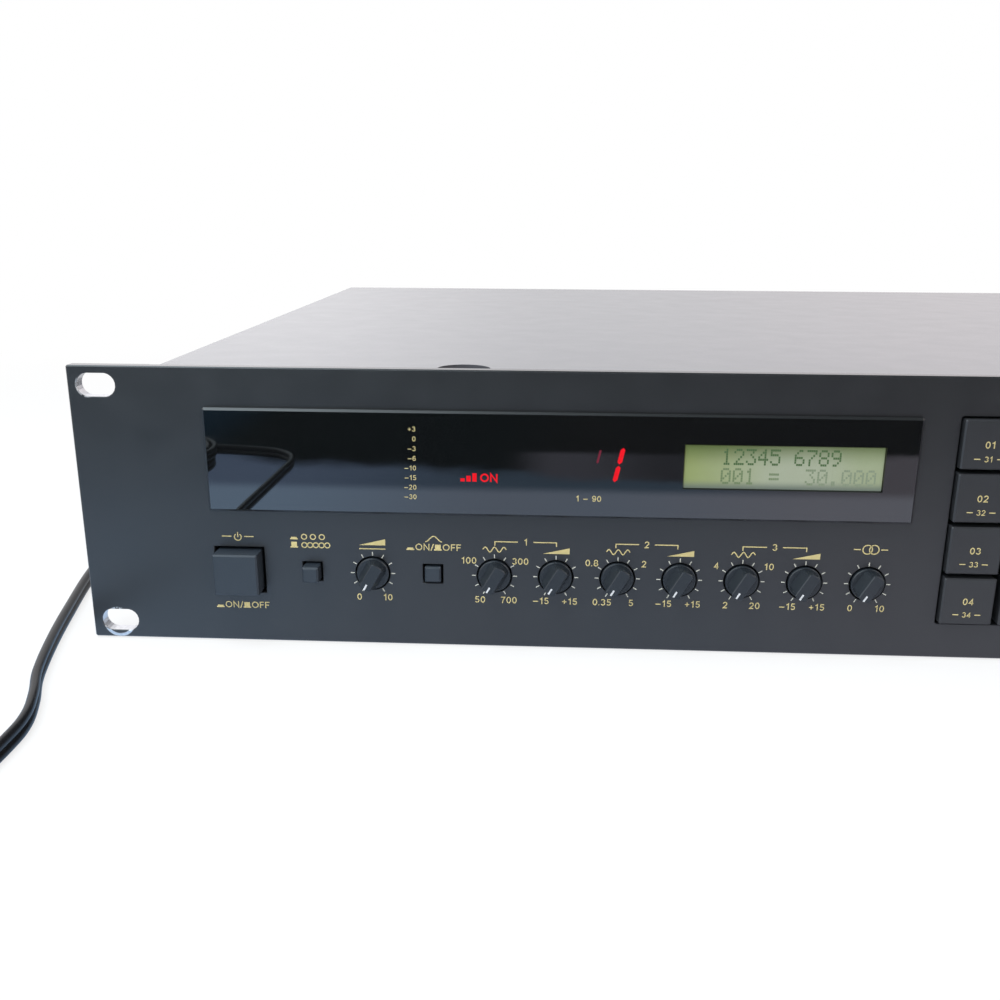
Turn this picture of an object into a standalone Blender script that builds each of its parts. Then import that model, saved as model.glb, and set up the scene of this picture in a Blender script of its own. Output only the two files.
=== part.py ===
"""A two-unit rack effects unit with its captive mains lead, as the pieces it comes apart into.

Metres, +Z up, +X to the right of someone who faces the controls, +Y away from them. The origin lies on the
surface the unit stands on, under the middle of the unit's box, measured without the lead.
"""

from dataclasses import dataclass, replace
from math import cos, pi, radians, sin, tau

import bmesh
import bpy
import numpy as np
from mathutils import Vector

# Clearances
GAP = 0.0003
FLOOR_CLEARANCE = 0.0004

# Front panel, to the 19 inch rack standard
PANEL_WIDTH = 0.4826
PANEL_HEIGHT = 0.0880
PANEL_THICK = 0.0040
PANEL_CORNER = 0.0008
PANEL_EDGE = 0.0004
PANEL_RELIEF = 0.0005
SLOT_SPAN_X = 0.4651
SLOT_SPAN_Z = 0.0762
SLOT_LENGTH = 0.0118
SLOT_HEIGHT = 0.0072
HOLE_EDGE = 0.0002

# Case of sheet steel behind the panel
CASE_INSET = 0.0245
CASE_DEPTH = 0.3110
SHEET = 0.0012
COVER_DROP = 0.0005
COVER_BEND = 0.0022
NOTCH_RADIUS = 0.0080
NOTCH_FROM_FRONT = 0.0062
NOTCH_FROM_END = 0.1195
CHASSIS_LIFT = 0.0035
LIP_WIDTH = 0.0140
RAIL_DEPTH = 0.0170
RAIL_DROP = 0.0070
FOOT_RADIUS = 0.0085
FOOT_FROM_FRONT = 0.0350
FOOT_FROM_BACK = 0.0350
FOOT_FROM_SIDE = 0.0300

# Display window, a bevelled acrylic plate that stands proud of the panel
WINDOW_LEFT = 0.0410
WINDOW_BOTTOM = 0.0436
WINDOW_WIDTH = 0.2135
WINDOW_HEIGHT = 0.0323
WINDOW_PROUD = 0.0016
WINDOW_BEVEL = 0.0007
WINDOW_RIM = 0.0022
LCD_LEFT = 0.1857
LCD_BOTTOM = 0.0533
LCD_WIDTH = 0.0588
LCD_HEIGHT = 0.0137
LCD_SUNK = 0.0006

# Rotary controls
KNOB_ROW = 0.0238
KNOB_PITCH = 0.01905
FIRST_KNOB = 0.0912
KNOB_PLACES = {
    "input_level_knob": 0,
    "lo_freq_knob": 2,
    "lo_level_knob": 3,
    "mid_freq_knob": 4,
    "mid_level_knob": 5,
    "hi_freq_knob": 6,
    "hi_level_knob": 7,
    "mixing_knob": 8,
}
KNOB_RADIUS = 0.0050
KNOB_HOLE = 0.0054
KNOB_DISC_PROUD = 0.0008
KNOB_PROUD = 0.0051
KNOB_BAR_FOOT = 0.0033
KNOB_BAR_TOP = 0.0019
KNOB_EDGE = 0.00025
KNOB_TAIL = 0.0092
KNOB_REST_DEG = 150.0

# Push buttons: centre, half size, hole margin and how far each stands proud as photographed
POWER_CENTRE = (0.0492, 0.0240)
POWER_HALF = (0.00695, 0.00665)
POWER_PROUD = 0.0058
MONO_CENTRE = (0.0722, 0.0240)
EQ_CENTRE = (0.1101, 0.0240)
SMALL_HALF = (0.0025, 0.0025)
BUTTON_OUT = 0.0042
BUTTON_IN = 0.0012
POWER_MARGIN = 0.0009
BUTTON_MARGIN = 0.0006
BUTTON_EDGE = 0.0005
BUTTON_TAIL = 0.0092

# Keys, in two wells
KEY_HALF = (0.0078, 0.00745)
WIDE_KEY_HALF_X = 0.0166
KEY_PITCH_X = 0.0176
KEY_PITCH_Z = 0.0163
KEY_CENTRE_Z = 0.04385
KEY_ROWS = 4
KEY_PROUD = 0.0018
KEY_EDGE = 0.0004
KEY_BACK = 0.0042
KEY_TAIL = 0.0107
KEY_STEM_HALF = 0.0020
WELL_MARGIN = 0.0006
PROGRAM_WELL_LEFT = 0.2654
PROGRAM_COLUMNS = 4
EDIT_WELL_LEFT = 0.3564
EDIT_COLUMNS = 2

# Boards behind the panel, as depths from its front face
BOARD = 0.0016
POT_FRONT = 0.0095
KEY_SWITCH_FRONT = 0.0120
BUTTON_SWITCH_FRONT = 0.0130
CONTROL_BOARD_FRONT = 0.0160
DISPLAY_BODY_FRONT = 0.0040
DISPLAY_BOARD_FRONT = 0.0105

# Rear panel and its sockets
REAR_FROM_FRONT = 0.3096
SOCKET_PROUD = 0.0032
SOCKET_FLANGE = (0.0130, 0.0155)
SOCKET_BODY = 0.0105
SOCKET_HEIGHT = 0.0470
SOCKET_PLACES = {
    "output_socket_right": 0.1500,
    "output_socket_left": 0.1900,
    "input_socket_right": 0.2500,
    "input_socket_left": 0.2900,
}
MIDI_FROM_END = 0.3600
MIDI_SPACING = 0.0220

# Mains lead: a twin cord of 5.6 by 2.8 mm, which lies on its edge
CORD_WIDTH = 0.0056
CORD_THICK = 0.0028
BUSHING_FROM_END = 0.0520
BUSHING_HEIGHT = 0.0200
BUSHING_LENGTH = 0.0240
BUSHING_HOLE = 0.0066
TUBE_STEP = 0.0150
COIL_RADIUS = 0.0360
COIL_PITCH = 0.0036
COIL_TURNS = 5.25
COIL_LAYER = 0.0062
COIL_LIFT = 0.0013
COIL_LOOP_POINTS = 24
COIL_TAIL = 0.0550
TIE_WIDTH = 0.0070
TIE_THICK = 0.0007
PLUG_LENGTH = 0.0430
PLUG_HALF = (0.0120, 0.0065)

# Places that follow from the sizes above, in the world frame
SHEET_REAR = REAR_FROM_FRONT + SHEET
REAR_MOST = SHEET_REAR + SOCKET_PROUD
PANEL_LEFT_X = -PANEL_WIDTH / 2
PANEL_FRONT_Y = (POWER_PROUD - REAR_MOST) / 2
PANEL_BACK = PANEL_THICK - PANEL_RELIEF
BEHIND_PANEL = PANEL_BACK + GAP

FACING_FRONT = (pi / 2, 0.0, 0.0)
FACING_REAR = (pi / 2, 0.0, pi)
FACING_UP = (0.0, 0.0, 0.0)
FACING_RIGHT = (pi / 2, 0.0, pi / 2)

# The lead's free stretch, from the bushing round the left side to the coil: distance from the panel's left
# end, from its front face (positive to the rear) and above the surface.
LEAD_ROUTE = (
    (0.0520, 0.3352, 0.0200),
    (0.0520, 0.3460, 0.0197),
    (0.0482, 0.3600, 0.0174),
    (0.0375, 0.3700, 0.0134),
    (0.0220, 0.3735, 0.0090),
    (0.0060, 0.3730, 0.0056),
    (-0.0090, 0.3690, 0.0037),
    (-0.0200, 0.3590, 0.00300),
    (-0.0250, 0.3430, 0.00295),
    (-0.0285, 0.3050, 0.00295),
    (-0.0320, 0.2500, 0.00295),
    (-0.0335, 0.1950, 0.00295),
    (-0.0330, 0.1450, 0.00295),
    (-0.0297, 0.0950, 0.00295),
    (-0.0232, 0.0500, 0.00295),
    (-0.0154, 0.0148, 0.00295),
    (-0.0089, -0.0110, 0.00295),
    (-0.0022, -0.0332, 0.00295),
    (0.0039, -0.0478, 0.00295),
    (0.0080, -0.0605, 0.00295),
    (0.0091, -0.0740, 0.00295),
    (0.0087, -0.1050, 0.00295),
    (0.0085, -0.1400, 0.00295),
    (0.0088, -0.1750, 0.00295),
    (0.0090, -0.2050, 0.00295),
    (0.0090, -0.2215, 0.00295),
    (0.0055, -0.2345, 0.00295),
    (-0.0040, -0.2440, 0.00300),
    (-0.0170, -0.2475, 0.00320),
    (-0.0320, -0.2475, 0.00380),
    (-0.0460, -0.2475, 0.00410),
    (-0.0582, -0.2475, 0.00410),
)
LEAD_TWIST = (0.0480, -0.0150)
COIL_ENTRY = (-0.0585, -0.2475)


@dataclass(frozen=True)
class Outline:
    """A rounded rectangle in a piece's own XY plane. A slot or a circle is one whose corners meet."""

    x: float
    y: float
    half_x: float
    half_y: float
    radius: float = 0.0
    steps: int = 1

    def points(self):
        quarters = ((1, 1), (-1, 1), (-1, -1), (1, -1))
        reach = self.radius * cos(pi / 4 / self.steps)
        for quarter, (side_x, side_y) in enumerate(quarters):
            centre_x = self.x + side_x * (self.half_x - reach)
            centre_y = self.y + side_y * (self.half_y - reach)
            for step in range(self.steps):
                angle = (quarter + (step + 0.5) / self.steps) * pi / 2
                yield centre_x + self.radius * cos(angle), centre_y + self.radius * sin(angle)

    def grown(self, by):
        radius = max(self.radius + by, 0.00005) if self.steps > 1 else self.radius
        return replace(self, half_x=self.half_x + by, half_y=self.half_y + by, radius=radius)


@dataclass(frozen=True)
class Polygon:
    """A straight-sided outline given by its corners."""

    corners: tuple

    def points(self):
        return self.corners


@dataclass(frozen=True)
class Feature:
    """A boss on a face, or a pocket where the height is negative, with features on its own end face."""

    outline: Outline
    height: float
    features: tuple = ()


def circle(x, y, radius, sides=24):
    return Outline(x, y, radius, radius, radius, sides // 4)


def bar_outline(radius, half_width, sides=32):
    """A circle with two sides cut off straight, which leaves a bar along Y."""
    points = circle(0.0, 0.0, radius, sides).points()
    return Polygon(tuple((max(-half_width, min(half_width, x)), y) for x, y in points))


class Loft:
    """A closed mesh made of rings of points along the piece's own Z, from the back to the front."""

    def __init__(self, sections, front=(), back=(), through=()):
        self.bm = bmesh.new()
        rings = self.walls(sections)
        holes = [self.walls(hole) for hole in through]
        self.end_face(rings[0], [hole[0] for hole in holes], sections[0][1], -1, back)
        self.end_face(rings[-1], [hole[-1] for hole in holes], sections[-1][1], 1, front)
        bmesh.ops.recalc_face_normals(self.bm, faces=self.bm.faces)

    def ring(self, outline, z):
        return [self.bm.verts.new((x, y, z)) for x, y in outline.points()]

    def walls(self, sections):
        rings = [self.ring(outline, z) for outline, z in sections]
        for lower, upper in zip(rings, rings[1:]):
            for i in range(len(lower)):
                self.bm.faces.new((lower[i - 1], lower[i], upper[i], upper[i - 1]))
        return rings

    def end_face(self, rim, holes, z, outward, features):
        """Fills the face inside a rim, round its holes and features, and adds each feature's own faces."""
        rings = [rim, *holes]
        for feature in features:
            end_z = z + outward * feature.height
            foot, end = self.walls(((feature.outline, z), (feature.outline, end_z)))
            rings.append(foot)
            self.end_face(end, [], end_z, outward, feature.features)
        if len(rings) == 1:
            self.bm.faces.new(rim)
            return
        edges = []
        for ring in rings:
            for i in range(len(ring)):
                ends = (ring[i - 1], ring[i])
                edges.append(self.bm.edges.get(ends) or self.bm.edges.new(ends))
        bmesh.ops.triangle_fill(self.bm, edges=edges, use_beauty=True, use_dissolve=False)

    def mesh(self, name):
        mesh = bpy.data.meshes.new(name)
        self.bm.to_mesh(mesh)
        self.bm.free()
        return mesh


def finish(name, colour, roughness, metallic=0.0):
    """A Principled material of one colour."""
    material = bpy.data.materials.new(name)
    material.use_nodes = True
    shader = material.node_tree.nodes["Principled BSDF"]
    shader.inputs["Base Color"].default_value = (*colour, 1.0)
    shader.inputs["Roughness"].default_value = roughness
    shader.inputs["Metallic"].default_value = metallic
    return material


def place(name, data, material, location, rotation=FACING_FRONT, smooth_deg=40.0):
    """Adds one named piece to the scene."""
    piece = bpy.data.objects.new(name, data)
    piece.location = location
    piece.rotation_euler = rotation
    bpy.context.scene.collection.objects.link(piece)
    if not data.materials:
        data.materials.append(material)
    if isinstance(data, bpy.types.Mesh):
        data.shade_smooth()
        data.set_sharp_from_angle(angle=radians(smooth_deg))
    return piece


def guide(piece):
    """Marks a cutter or a profile, which isn't a piece of the unit."""
    piece.hide_render = True
    piece.display_type = "WIRE"
    return piece


def cut(piece, cutter, operation="DIFFERENCE"):
    boolean = piece.modifiers.new(cutter.name, "BOOLEAN")
    boolean.operation = operation
    boolean.object = guide(cutter)


def on_panel(x, up, proud=0.0):
    """The world point at a place on the panel's front, or proud of it."""
    return Vector((PANEL_LEFT_X + x, PANEL_FRONT_Y - proud, FLOOR_CLEARANCE + up))


def on_floor(x, depth, up):
    """The world point at a distance from the panel's left end and front face, and above the surface."""
    return Vector((PANEL_LEFT_X + x, PANEL_FRONT_Y + depth, up))


def box_outline(left, bottom, right, top, radius=0.0, steps=1):
    half_x = (right - left) / 2
    half_y = (top - bottom) / 2
    return Outline(left + half_x, bottom + half_y, half_x, half_y, radius, steps)


def window_outline():
    right = WINDOW_LEFT + WINDOW_WIDTH
    top = WINDOW_BOTTOM + WINDOW_HEIGHT
    return box_outline(WINDOW_LEFT, WINDOW_BOTTOM, right, top, 0.0008, 2)


def lcd_outline():
    return box_outline(LCD_LEFT, LCD_BOTTOM, LCD_LEFT + LCD_WIDTH, LCD_BOTTOM + LCD_HEIGHT)


def key_block(left, columns, half_x, pitch_x):
    """The centres of a block of keys, row by row from the top left, and the outline of its well."""
    rows = [KEY_CENTRE_Z + (row - (KEY_ROWS - 1) / 2) * KEY_PITCH_Z for row in reversed(range(KEY_ROWS))]
    first = left + WELL_MARGIN + half_x
    centres = [(first + column * pitch_x, z) for z in rows for column in range(columns)]
    right = centres[-1][0] + half_x + WELL_MARGIN
    bottom = rows[-1] - KEY_HALF[1] - WELL_MARGIN
    top = rows[0] + KEY_HALF[1] + WELL_MARGIN
    return centres, box_outline(left, bottom, right, top, 0.0008, 2)


def knob_centres():
    return {name: (FIRST_KNOB + place * KNOB_PITCH, KNOB_ROW) for name, place in KNOB_PLACES.items()}


def buttons():
    """Each push button's centre, half size and how far it stands proud at rest."""
    return {
        "power_button": (POWER_CENTRE, POWER_HALF, POWER_PROUD),
        "mono_stereo_button": (MONO_CENTRE, SMALL_HALF, BUTTON_OUT),
        "eq_button": (EQ_CENTRE, SMALL_HALF, BUTTON_IN),
    }


def key_blocks():
    """Each block of keys: name, half width, centres and well."""
    wide_pitch = 2 * WIDE_KEY_HALF_X + KEY_PITCH_X - 2 * KEY_HALF[0]
    program = key_block(PROGRAM_WELL_LEFT, PROGRAM_COLUMNS, KEY_HALF[0], KEY_PITCH_X)
    edit = key_block(EDIT_WELL_LEFT, EDIT_COLUMNS, WIDE_KEY_HALF_X, wide_pitch)
    return (("program_key", KEY_HALF[0], *program), ("edit_key", WIDE_KEY_HALF_X, *edit))


def through_hole(outline, edge):
    """A hole through the panel whose front rim is broken by a small chamfer."""
    return ((outline, -PANEL_THICK), (outline, -edge), (outline.grown(edge), 0.0))


def build_front_panel(paint):
    """The thick rack panel with its slots, control holes, key wells and window opening."""
    middle_x = PANEL_WIDTH / 2
    middle_z = PANEL_HEIGHT / 2
    outer = box_outline(0.0, 0.0, PANEL_WIDTH, PANEL_HEIGHT, PANEL_CORNER, 2)
    holes = []
    for side_x in (-1, 1):
        for side_z in (-1, 1):
            slot_x = middle_x + side_x * SLOT_SPAN_X / 2
            slot_z = middle_z + side_z * SLOT_SPAN_Z / 2
            holes.append(Outline(slot_x, slot_z, SLOT_LENGTH / 2, SLOT_HEIGHT / 2, SLOT_HEIGHT / 2, 5))
    holes += [circle(x, z, KNOB_HOLE, 28) for x, z in knob_centres().values()]
    for name, ((x, z), half, _) in buttons().items():
        margin = POWER_MARGIN if name == "power_button" else BUTTON_MARGIN
        holes.append(Outline(x, z, *half).grown(margin))
    holes += [well for _, _, _, well in key_blocks()]
    holes.append(window_outline().grown(-WINDOW_RIM))
    through = [through_hole(hole, HOLE_EDGE) for hole in holes]
    sections = ((outer, -PANEL_THICK), (outer, -PANEL_EDGE), (outer.grown(-PANEL_EDGE), 0.0))
    panel = place("front_panel", Loft(sections, through=through).mesh("front_panel"), paint, on_panel(0, 0))

    # The back is relieved between the two rack ears, so that each ear has a seating face of its own.
    ear = CASE_INSET - GAP
    relief = box_outline(ear, -PANEL_EDGE, PANEL_WIDTH - ear, PANEL_HEIGHT + PANEL_EDGE)
    depth = ((relief, -PANEL_THICK - PANEL_EDGE), (relief, -PANEL_BACK))
    cut(panel, place("ear_relief", Loft(depth).mesh("ear_relief"), paint, on_panel(0, 0)))


def build_window(acrylic):
    """The bevelled plate over the displays, with a boss in the panel's opening and a port for the LCD."""
    outer = window_outline()
    boss = outer.grown(-WINDOW_RIM - GAP)
    back = -PANEL_BACK + GAP
    sections = (
        (boss, back),
        (boss, GAP),
        (outer, GAP),
        (outer, WINDOW_PROUD - WINDOW_BEVEL),
        (outer.grown(-WINDOW_BEVEL), WINDOW_PROUD),
    )
    port = lcd_outline()
    loft = Loft(sections, through=[((port, back), (port, WINDOW_PROUD))])
    place("display_window", loft.mesh("display_window"), acrylic, on_panel(0, 0))


def build_knobs(plastic):
    """Knobs, each one piece with its shaft: a disc in the panel's hole and a bar with sloping flanks."""
    disc = circle(0.0, 0.0, KNOB_RADIUS, 32)
    bar_radius = KNOB_RADIUS - 2 * KNOB_EDGE
    sections = (
        (disc, -KNOB_TAIL),
        (disc, KNOB_DISC_PROUD - KNOB_EDGE),
        (disc.grown(-KNOB_EDGE), KNOB_DISC_PROUD),
        (bar_outline(bar_radius, KNOB_BAR_FOOT), KNOB_DISC_PROUD),
        (bar_outline(bar_radius, KNOB_BAR_TOP), KNOB_PROUD - KNOB_EDGE),
        (bar_outline(bar_radius - KNOB_EDGE, KNOB_BAR_TOP - KNOB_EDGE), KNOB_PROUD),
    )
    mesh = Loft(sections).mesh("knob")
    for name, (x, z) in knob_centres().items():
        place(name, mesh, plastic, on_panel(x, z), (pi / 2, -radians(KNOB_REST_DEG), 0.0), 25.0)


def build_buttons(plastic):
    """Square push buttons on their switch plungers."""
    for name, ((x, z), (half_x, half_z), proud) in buttons().items():
        cap = Outline(0.0, 0.0, half_x, half_z, 0.0004, 2)
        plunger = Outline(0.0, 0.0, KEY_STEM_HALF, KEY_STEM_HALF, 0.0004, 2)
        sections = (
            (plunger, -BUTTON_TAIL),
            (plunger, -BUTTON_TAIL / 2),
            (cap, -BUTTON_TAIL / 2),
            (cap, proud - BUTTON_EDGE),
            (cap.grown(-BUTTON_EDGE), proud),
        )
        place(name, Loft(sections).mesh(name), plastic, on_panel(x, z))


def build_keys(plastic):
    """Key caps on their stems, each cap a little proud of the panel."""
    for name, half_x, centres, _ in key_blocks():
        cap = Outline(0.0, 0.0, half_x, KEY_HALF[1], 0.0006, 2)
        stem = Outline(0.0, 0.0, KEY_STEM_HALF, KEY_STEM_HALF, 0.0004, 2)
        sections = (
            (stem, -KEY_TAIL),
            (stem, -KEY_BACK),
            (cap, -KEY_BACK),
            (cap, KEY_PROUD - KEY_EDGE),
            (cap.grown(-KEY_EDGE), KEY_PROUD),
        )
        mesh = Loft(sections).mesh(name)
        for number, (x, z) in enumerate(centres, 1):
            place(f"{name}_{number}", mesh, plastic, on_panel(x, z))


def sheet_profile(left, bottom, right, top, bend):
    """A sheet folded down at both sides: the outline of its cross-section, upside down for a tray."""
    up = 1 if top > bottom else -1
    corners = []
    for radius, inset in ((bend, 0.0), (bend - SHEET, SHEET)):
        arc = []
        for step in range(4):
            angle = step / 3 * pi / 2
            arc.append((inset + radius - radius * cos(angle), radius * sin(angle)))
        side = [(left + inset, bottom)]
        side += [(left + x, top - up * (inset + radius - y)) for x, y in arc]
        mirrored = [(left + right - x, z) for x, z in reversed(side)]
        run = side + mirrored
        corners += run if inset == 0.0 else run[::-1]
    return Polygon(tuple(corners))


def build_cover(paint):
    """The folded top cover, with a half-round screw notch near each end of its front edge."""
    left = CASE_INSET
    right = PANEL_WIDTH - CASE_INSET
    top = PANEL_HEIGHT - COVER_DROP
    profile = sheet_profile(left, CHASSIS_LIFT, right, top, COVER_BEND)
    mesh = Loft(((profile, -CASE_DEPTH), (profile, -BEHIND_PANEL))).mesh("top_cover")
    cover = place("top_cover", mesh, paint, on_panel(0, 0))
    for side, x in (("left", NOTCH_FROM_END), ("right", PANEL_WIDTH - NOTCH_FROM_END)):
        notch = circle(0.0, 0.0, NOTCH_RADIUS, 32)
        loft = Loft(((notch, -2 * SHEET), (notch, SHEET)))
        place_at = on_panel(x, top, -NOTCH_FROM_FRONT)
        cut(cover, place(f"notch_{side}", loft.mesh("notch"), paint, place_at, FACING_UP))


def build_chassis(paint):
    """The folded tray with its front lips, and the angle rail that stiffens the front under the cover."""
    left = CASE_INSET + SHEET + GAP
    right = PANEL_WIDTH - left
    tray_top = PANEL_HEIGHT - COVER_DROP - SHEET - 2 * GAP
    profile = sheet_profile(left, tray_top, right, CHASSIS_LIFT, COVER_BEND)
    depth = ((profile, -REAR_FROM_FRONT + GAP), (profile, -BEHIND_PANEL))
    tray = place("bottom_chassis", Loft(depth).mesh("bottom_chassis"), paint, on_panel(0, 0))
    lip_bottom = CHASSIS_LIFT + SHEET / 2
    lip_front = -BEHIND_PANEL - GAP
    for side, edge, inward in (("left", left, 1), ("right", right, -1)):
        ends = sorted((edge + inward * SHEET / 2, edge + inward * LIP_WIDTH))
        lip = box_outline(ends[0], lip_bottom, ends[1], PANEL_HEIGHT - RAIL_DROP - 4 * SHEET)
        loft = Loft(((lip, lip_front - SHEET), (lip, lip_front)))
        cut(tray, place(f"lip_{side}", loft.mesh("lip"), paint, on_panel(0, 0)), "UNION")

    # The rail's cross-section is drawn with X to the rear and Y up, and runs to the right.
    rail_top = tray_top + GAP - SHEET
    front = BEHIND_PANEL
    angle = Polygon((
        (front, rail_top - RAIL_DROP),
        (front + SHEET, rail_top - RAIL_DROP),
        (front + SHEET, rail_top - SHEET),
        (front + RAIL_DEPTH, rail_top - SHEET),
        (front + RAIL_DEPTH, rail_top),
        (front, rail_top),
    ))
    inner = left + SHEET + GAP
    rail = Loft(((angle, inner), (angle, PANEL_WIDTH - inner))).mesh("front_rail")
    place("front_rail", rail, paint, on_panel(0, 0), FACING_RIGHT)


def build_rear_panel(paint):
    """The rear sheet with openings for the sockets, the double socket block and the lead's bushing."""
    inner = CASE_INSET + SHEET + GAP
    top = PANEL_HEIGHT - COVER_DROP - SHEET - GAP
    outer = box_outline(inner, CHASSIS_LIFT, PANEL_WIDTH - inner, top)
    holes = [circle(x, SOCKET_HEIGHT, SOCKET_BODY + GAP, 24) for x in SOCKET_PLACES.values()]
    holes.append(circle(BUSHING_FROM_END, BUSHING_HEIGHT - FLOOR_CLEARANCE, BUSHING_HOLE, 16))
    holes.append(Outline(MIDI_FROM_END, SOCKET_HEIGHT, MIDI_SPACING, MIDI_SPACING / 2))
    through = [((hole, -SHEET), (hole, 0.0)) for hole in holes]
    mesh = Loft(((outer, -SHEET), (outer, 0.0)), through=through).mesh("rear_panel")
    place("rear_panel", mesh, paint, on_panel(0, 0, -REAR_FROM_FRONT))


def on_rear(x, up):
    """The world point on the rear sheet's outer face, at a distance from the panel's left end."""
    return on_panel(x, up, -SHEET_REAR)


def build_sockets(metal, plastic):
    """Three-pole balanced sockets, holes for the inputs and pins for the outputs, and a double DIN block."""
    body = circle(0.0, 0.0, SOCKET_BODY, 24)
    flange = Outline(0.0, 0.0, *SOCKET_FLANGE, 0.003, 6)
    ring = circle(0.0, 0.0, SOCKET_BODY - 0.0005, 24)
    flange_front = GAP + 0.002
    sections = ((body, -0.018), (body, GAP), (flange, GAP), (flange, flange_front))
    shell_proud = SOCKET_PROUD - flange_front
    poles = [(0.0042 * cos(radians(angle)), 0.0042 * sin(radians(angle))) for angle in (30, 150, 270)]
    contacts = tuple(Feature(circle(x, y, 0.0013, 8), -0.010) for x, y in poles)
    groove = Feature(circle(0.0, 0.0, 0.0090, 24), -0.008, (
        Feature(circle(0.0, 0.0, 0.0078, 24), 0.008, contacts),
    ))
    pins = tuple(Feature(circle(x, y, 0.0012, 8), 0.0090) for x, y in poles)
    cavity = Feature(circle(0.0, 0.0, 0.0080, 24), -0.0135, pins)
    faces = {"input": Feature(ring, shell_proud, (groove,)), "output": Feature(ring, shell_proud, (cavity,))}
    for kind, face in faces.items():
        mesh = Loft(sections, front=(face,)).mesh(f"{kind}_socket")
        for name, x in SOCKET_PLACES.items():
            if name.startswith(kind):
                place(name, mesh, metal, on_rear(x, SOCKET_HEIGHT), FACING_REAR)

    block = Outline(0.0, 0.0, MIDI_SPACING - GAP, MIDI_SPACING / 2 - GAP)
    rim = Outline(0.0, 0.0, MIDI_SPACING + 0.0015, MIDI_SPACING / 2 + 0.0015, 0.001, 1)
    wells = []
    for side in (-0.5, 0.5):
        centre = side * MIDI_SPACING
        angles = [radians(45 * i) for i in range(5)]
        spots = [(centre + 0.0037 * cos(angle), 0.0037 * sin(angle)) for angle in angles]
        poles = tuple(Feature(circle(x, y, 0.0008, 4), -0.005) for x, y in spots)
        core = Feature(circle(centre, 0.0, 0.0059, 20), 0.007, poles)
        wells.append(Feature(circle(centre, 0.0, 0.0073, 20), -0.007, (core,)))
    sections = ((block, -0.014), (block, GAP), (rim, GAP), (rim, GAP + 0.0015))
    mesh = Loft(sections, front=tuple(wells)).mesh("midi_socket_block")
    place("midi_socket_block", mesh, plastic, on_rear(MIDI_FROM_END, SOCKET_HEIGHT), FACING_REAR)


def build_boards(laminate, metal):
    """The boards behind the panel and on the chassis floor, each with its parts soldered on."""
    pot_height = CONTROL_BOARD_FRONT - POT_FRONT
    parts = [Feature(Outline(x, z, 0.0052, 0.0058), pot_height) for x, z in knob_centres().values()]
    for (x, z), _, _ in buttons().values():
        parts.append(Feature(Outline(x, z, 0.0045, 0.0050), CONTROL_BOARD_FRONT - BUTTON_SWITCH_FRONT))
    for _, _, centres, _ in key_blocks():
        for x, z in centres:
            parts.append(Feature(Outline(x, z, 0.0030, 0.0030), CONTROL_BOARD_FRONT - KEY_SWITCH_FRONT))
    board = box_outline(0.0330, 0.0090, PANEL_WIDTH - 0.0330, 0.0765)
    sections = ((board, -CONTROL_BOARD_FRONT - BOARD), (board, -CONTROL_BOARD_FRONT))
    mesh = Loft(sections, front=tuple(parts)).mesh("control_board")
    place("control_board", mesh, laminate, on_panel(0, 0))

    glass = lcd_outline().grown(-GAP)
    can = glass.grown(0.0055)
    card = glass.grown(0.0100)
    sections = (
        (card, -DISPLAY_BOARD_FRONT - BOARD),
        (card, -DISPLAY_BOARD_FRONT),
        (can, -DISPLAY_BOARD_FRONT),
        (can, -DISPLAY_BODY_FRONT),
        (glass, -DISPLAY_BODY_FRONT),
        (glass, WINDOW_PROUD - LCD_SUNK),
    )
    place("lcd_module", Loft(sections).mesh("lcd_module"), metal, on_panel(0, 0))

    height = DISPLAY_BOARD_FRONT - DISPLAY_BODY_FRONT
    middle_z = WINDOW_BOTTOM + WINDOW_HEIGHT / 2
    parts = (
        Feature(Outline(0.1090, middle_z, 0.0030, 0.0120), height),
        Feature(Outline(0.1245, 0.0558, 0.0065, 0.0030), height),
        Feature(Outline(0.1635, 0.0604, 0.0100, 0.0075), height),
    )
    card = box_outline(0.0980, WINDOW_BOTTOM + 0.0015, 0.1745, WINDOW_BOTTOM + WINDOW_HEIGHT - 0.0015)
    sections = ((card, -DISPLAY_BOARD_FRONT - BOARD), (card, -DISPLAY_BOARD_FRONT))
    mesh = Loft(sections, front=parts).mesh("indicator_board")
    place("indicator_board", mesh, laminate, on_panel(0, 0))

    # The main board lies on six pillars over the chassis floor, drawn from above with its rear edge up.
    half_x, half_y, lift = 0.150, 0.105, 0.0080
    pillars = tuple(
        Feature(circle(x * (half_x - 0.008), y * (half_y - 0.008), 0.003, 8), lift - GAP)
        for x in (-1, 0, 1)
        for y in (-1, 1)
    )
    chips = [
        Feature(Outline(-0.105 + 0.042 * column, -0.070 + 0.036 * row, 0.0100, 0.0050), 0.0035)
        for row in range(5)
        for column in range(6)
    ]
    cans = [Feature(circle(0.130, -0.080 + 0.032 * row, 0.0060, 12), 0.0180) for row in range(6)]
    sections = ((Outline(0.0, 0.0, half_x, half_y), 0.0), (Outline(0.0, 0.0, half_x, half_y), BOARD))
    mesh = Loft(sections, front=(*chips, *cans), back=pillars).mesh("main_board")
    floor_top = FLOOR_CLEARANCE + CHASSIS_LIFT + SHEET
    place("main_board", mesh, laminate, on_floor(0.2700, 0.1500, floor_top + lift), FACING_UP)

    # The transformer's laminations stand on the chassis floor, with the winding out at both faces.
    winding = Feature(Outline(0.0, 0.0, 0.0190, 0.0165, 0.005, 3), 0.0100)
    core = Outline(0.0, 0.0, 0.0330, 0.0275)
    loft = Loft(((core, -0.0150), (core, 0.0150)), front=(winding,), back=(winding,))
    centre = on_floor(0.0750, 0.2450, floor_top + GAP + 0.0275)
    place("power_transformer", loft.mesh("power_transformer"), metal, centre)


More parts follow.
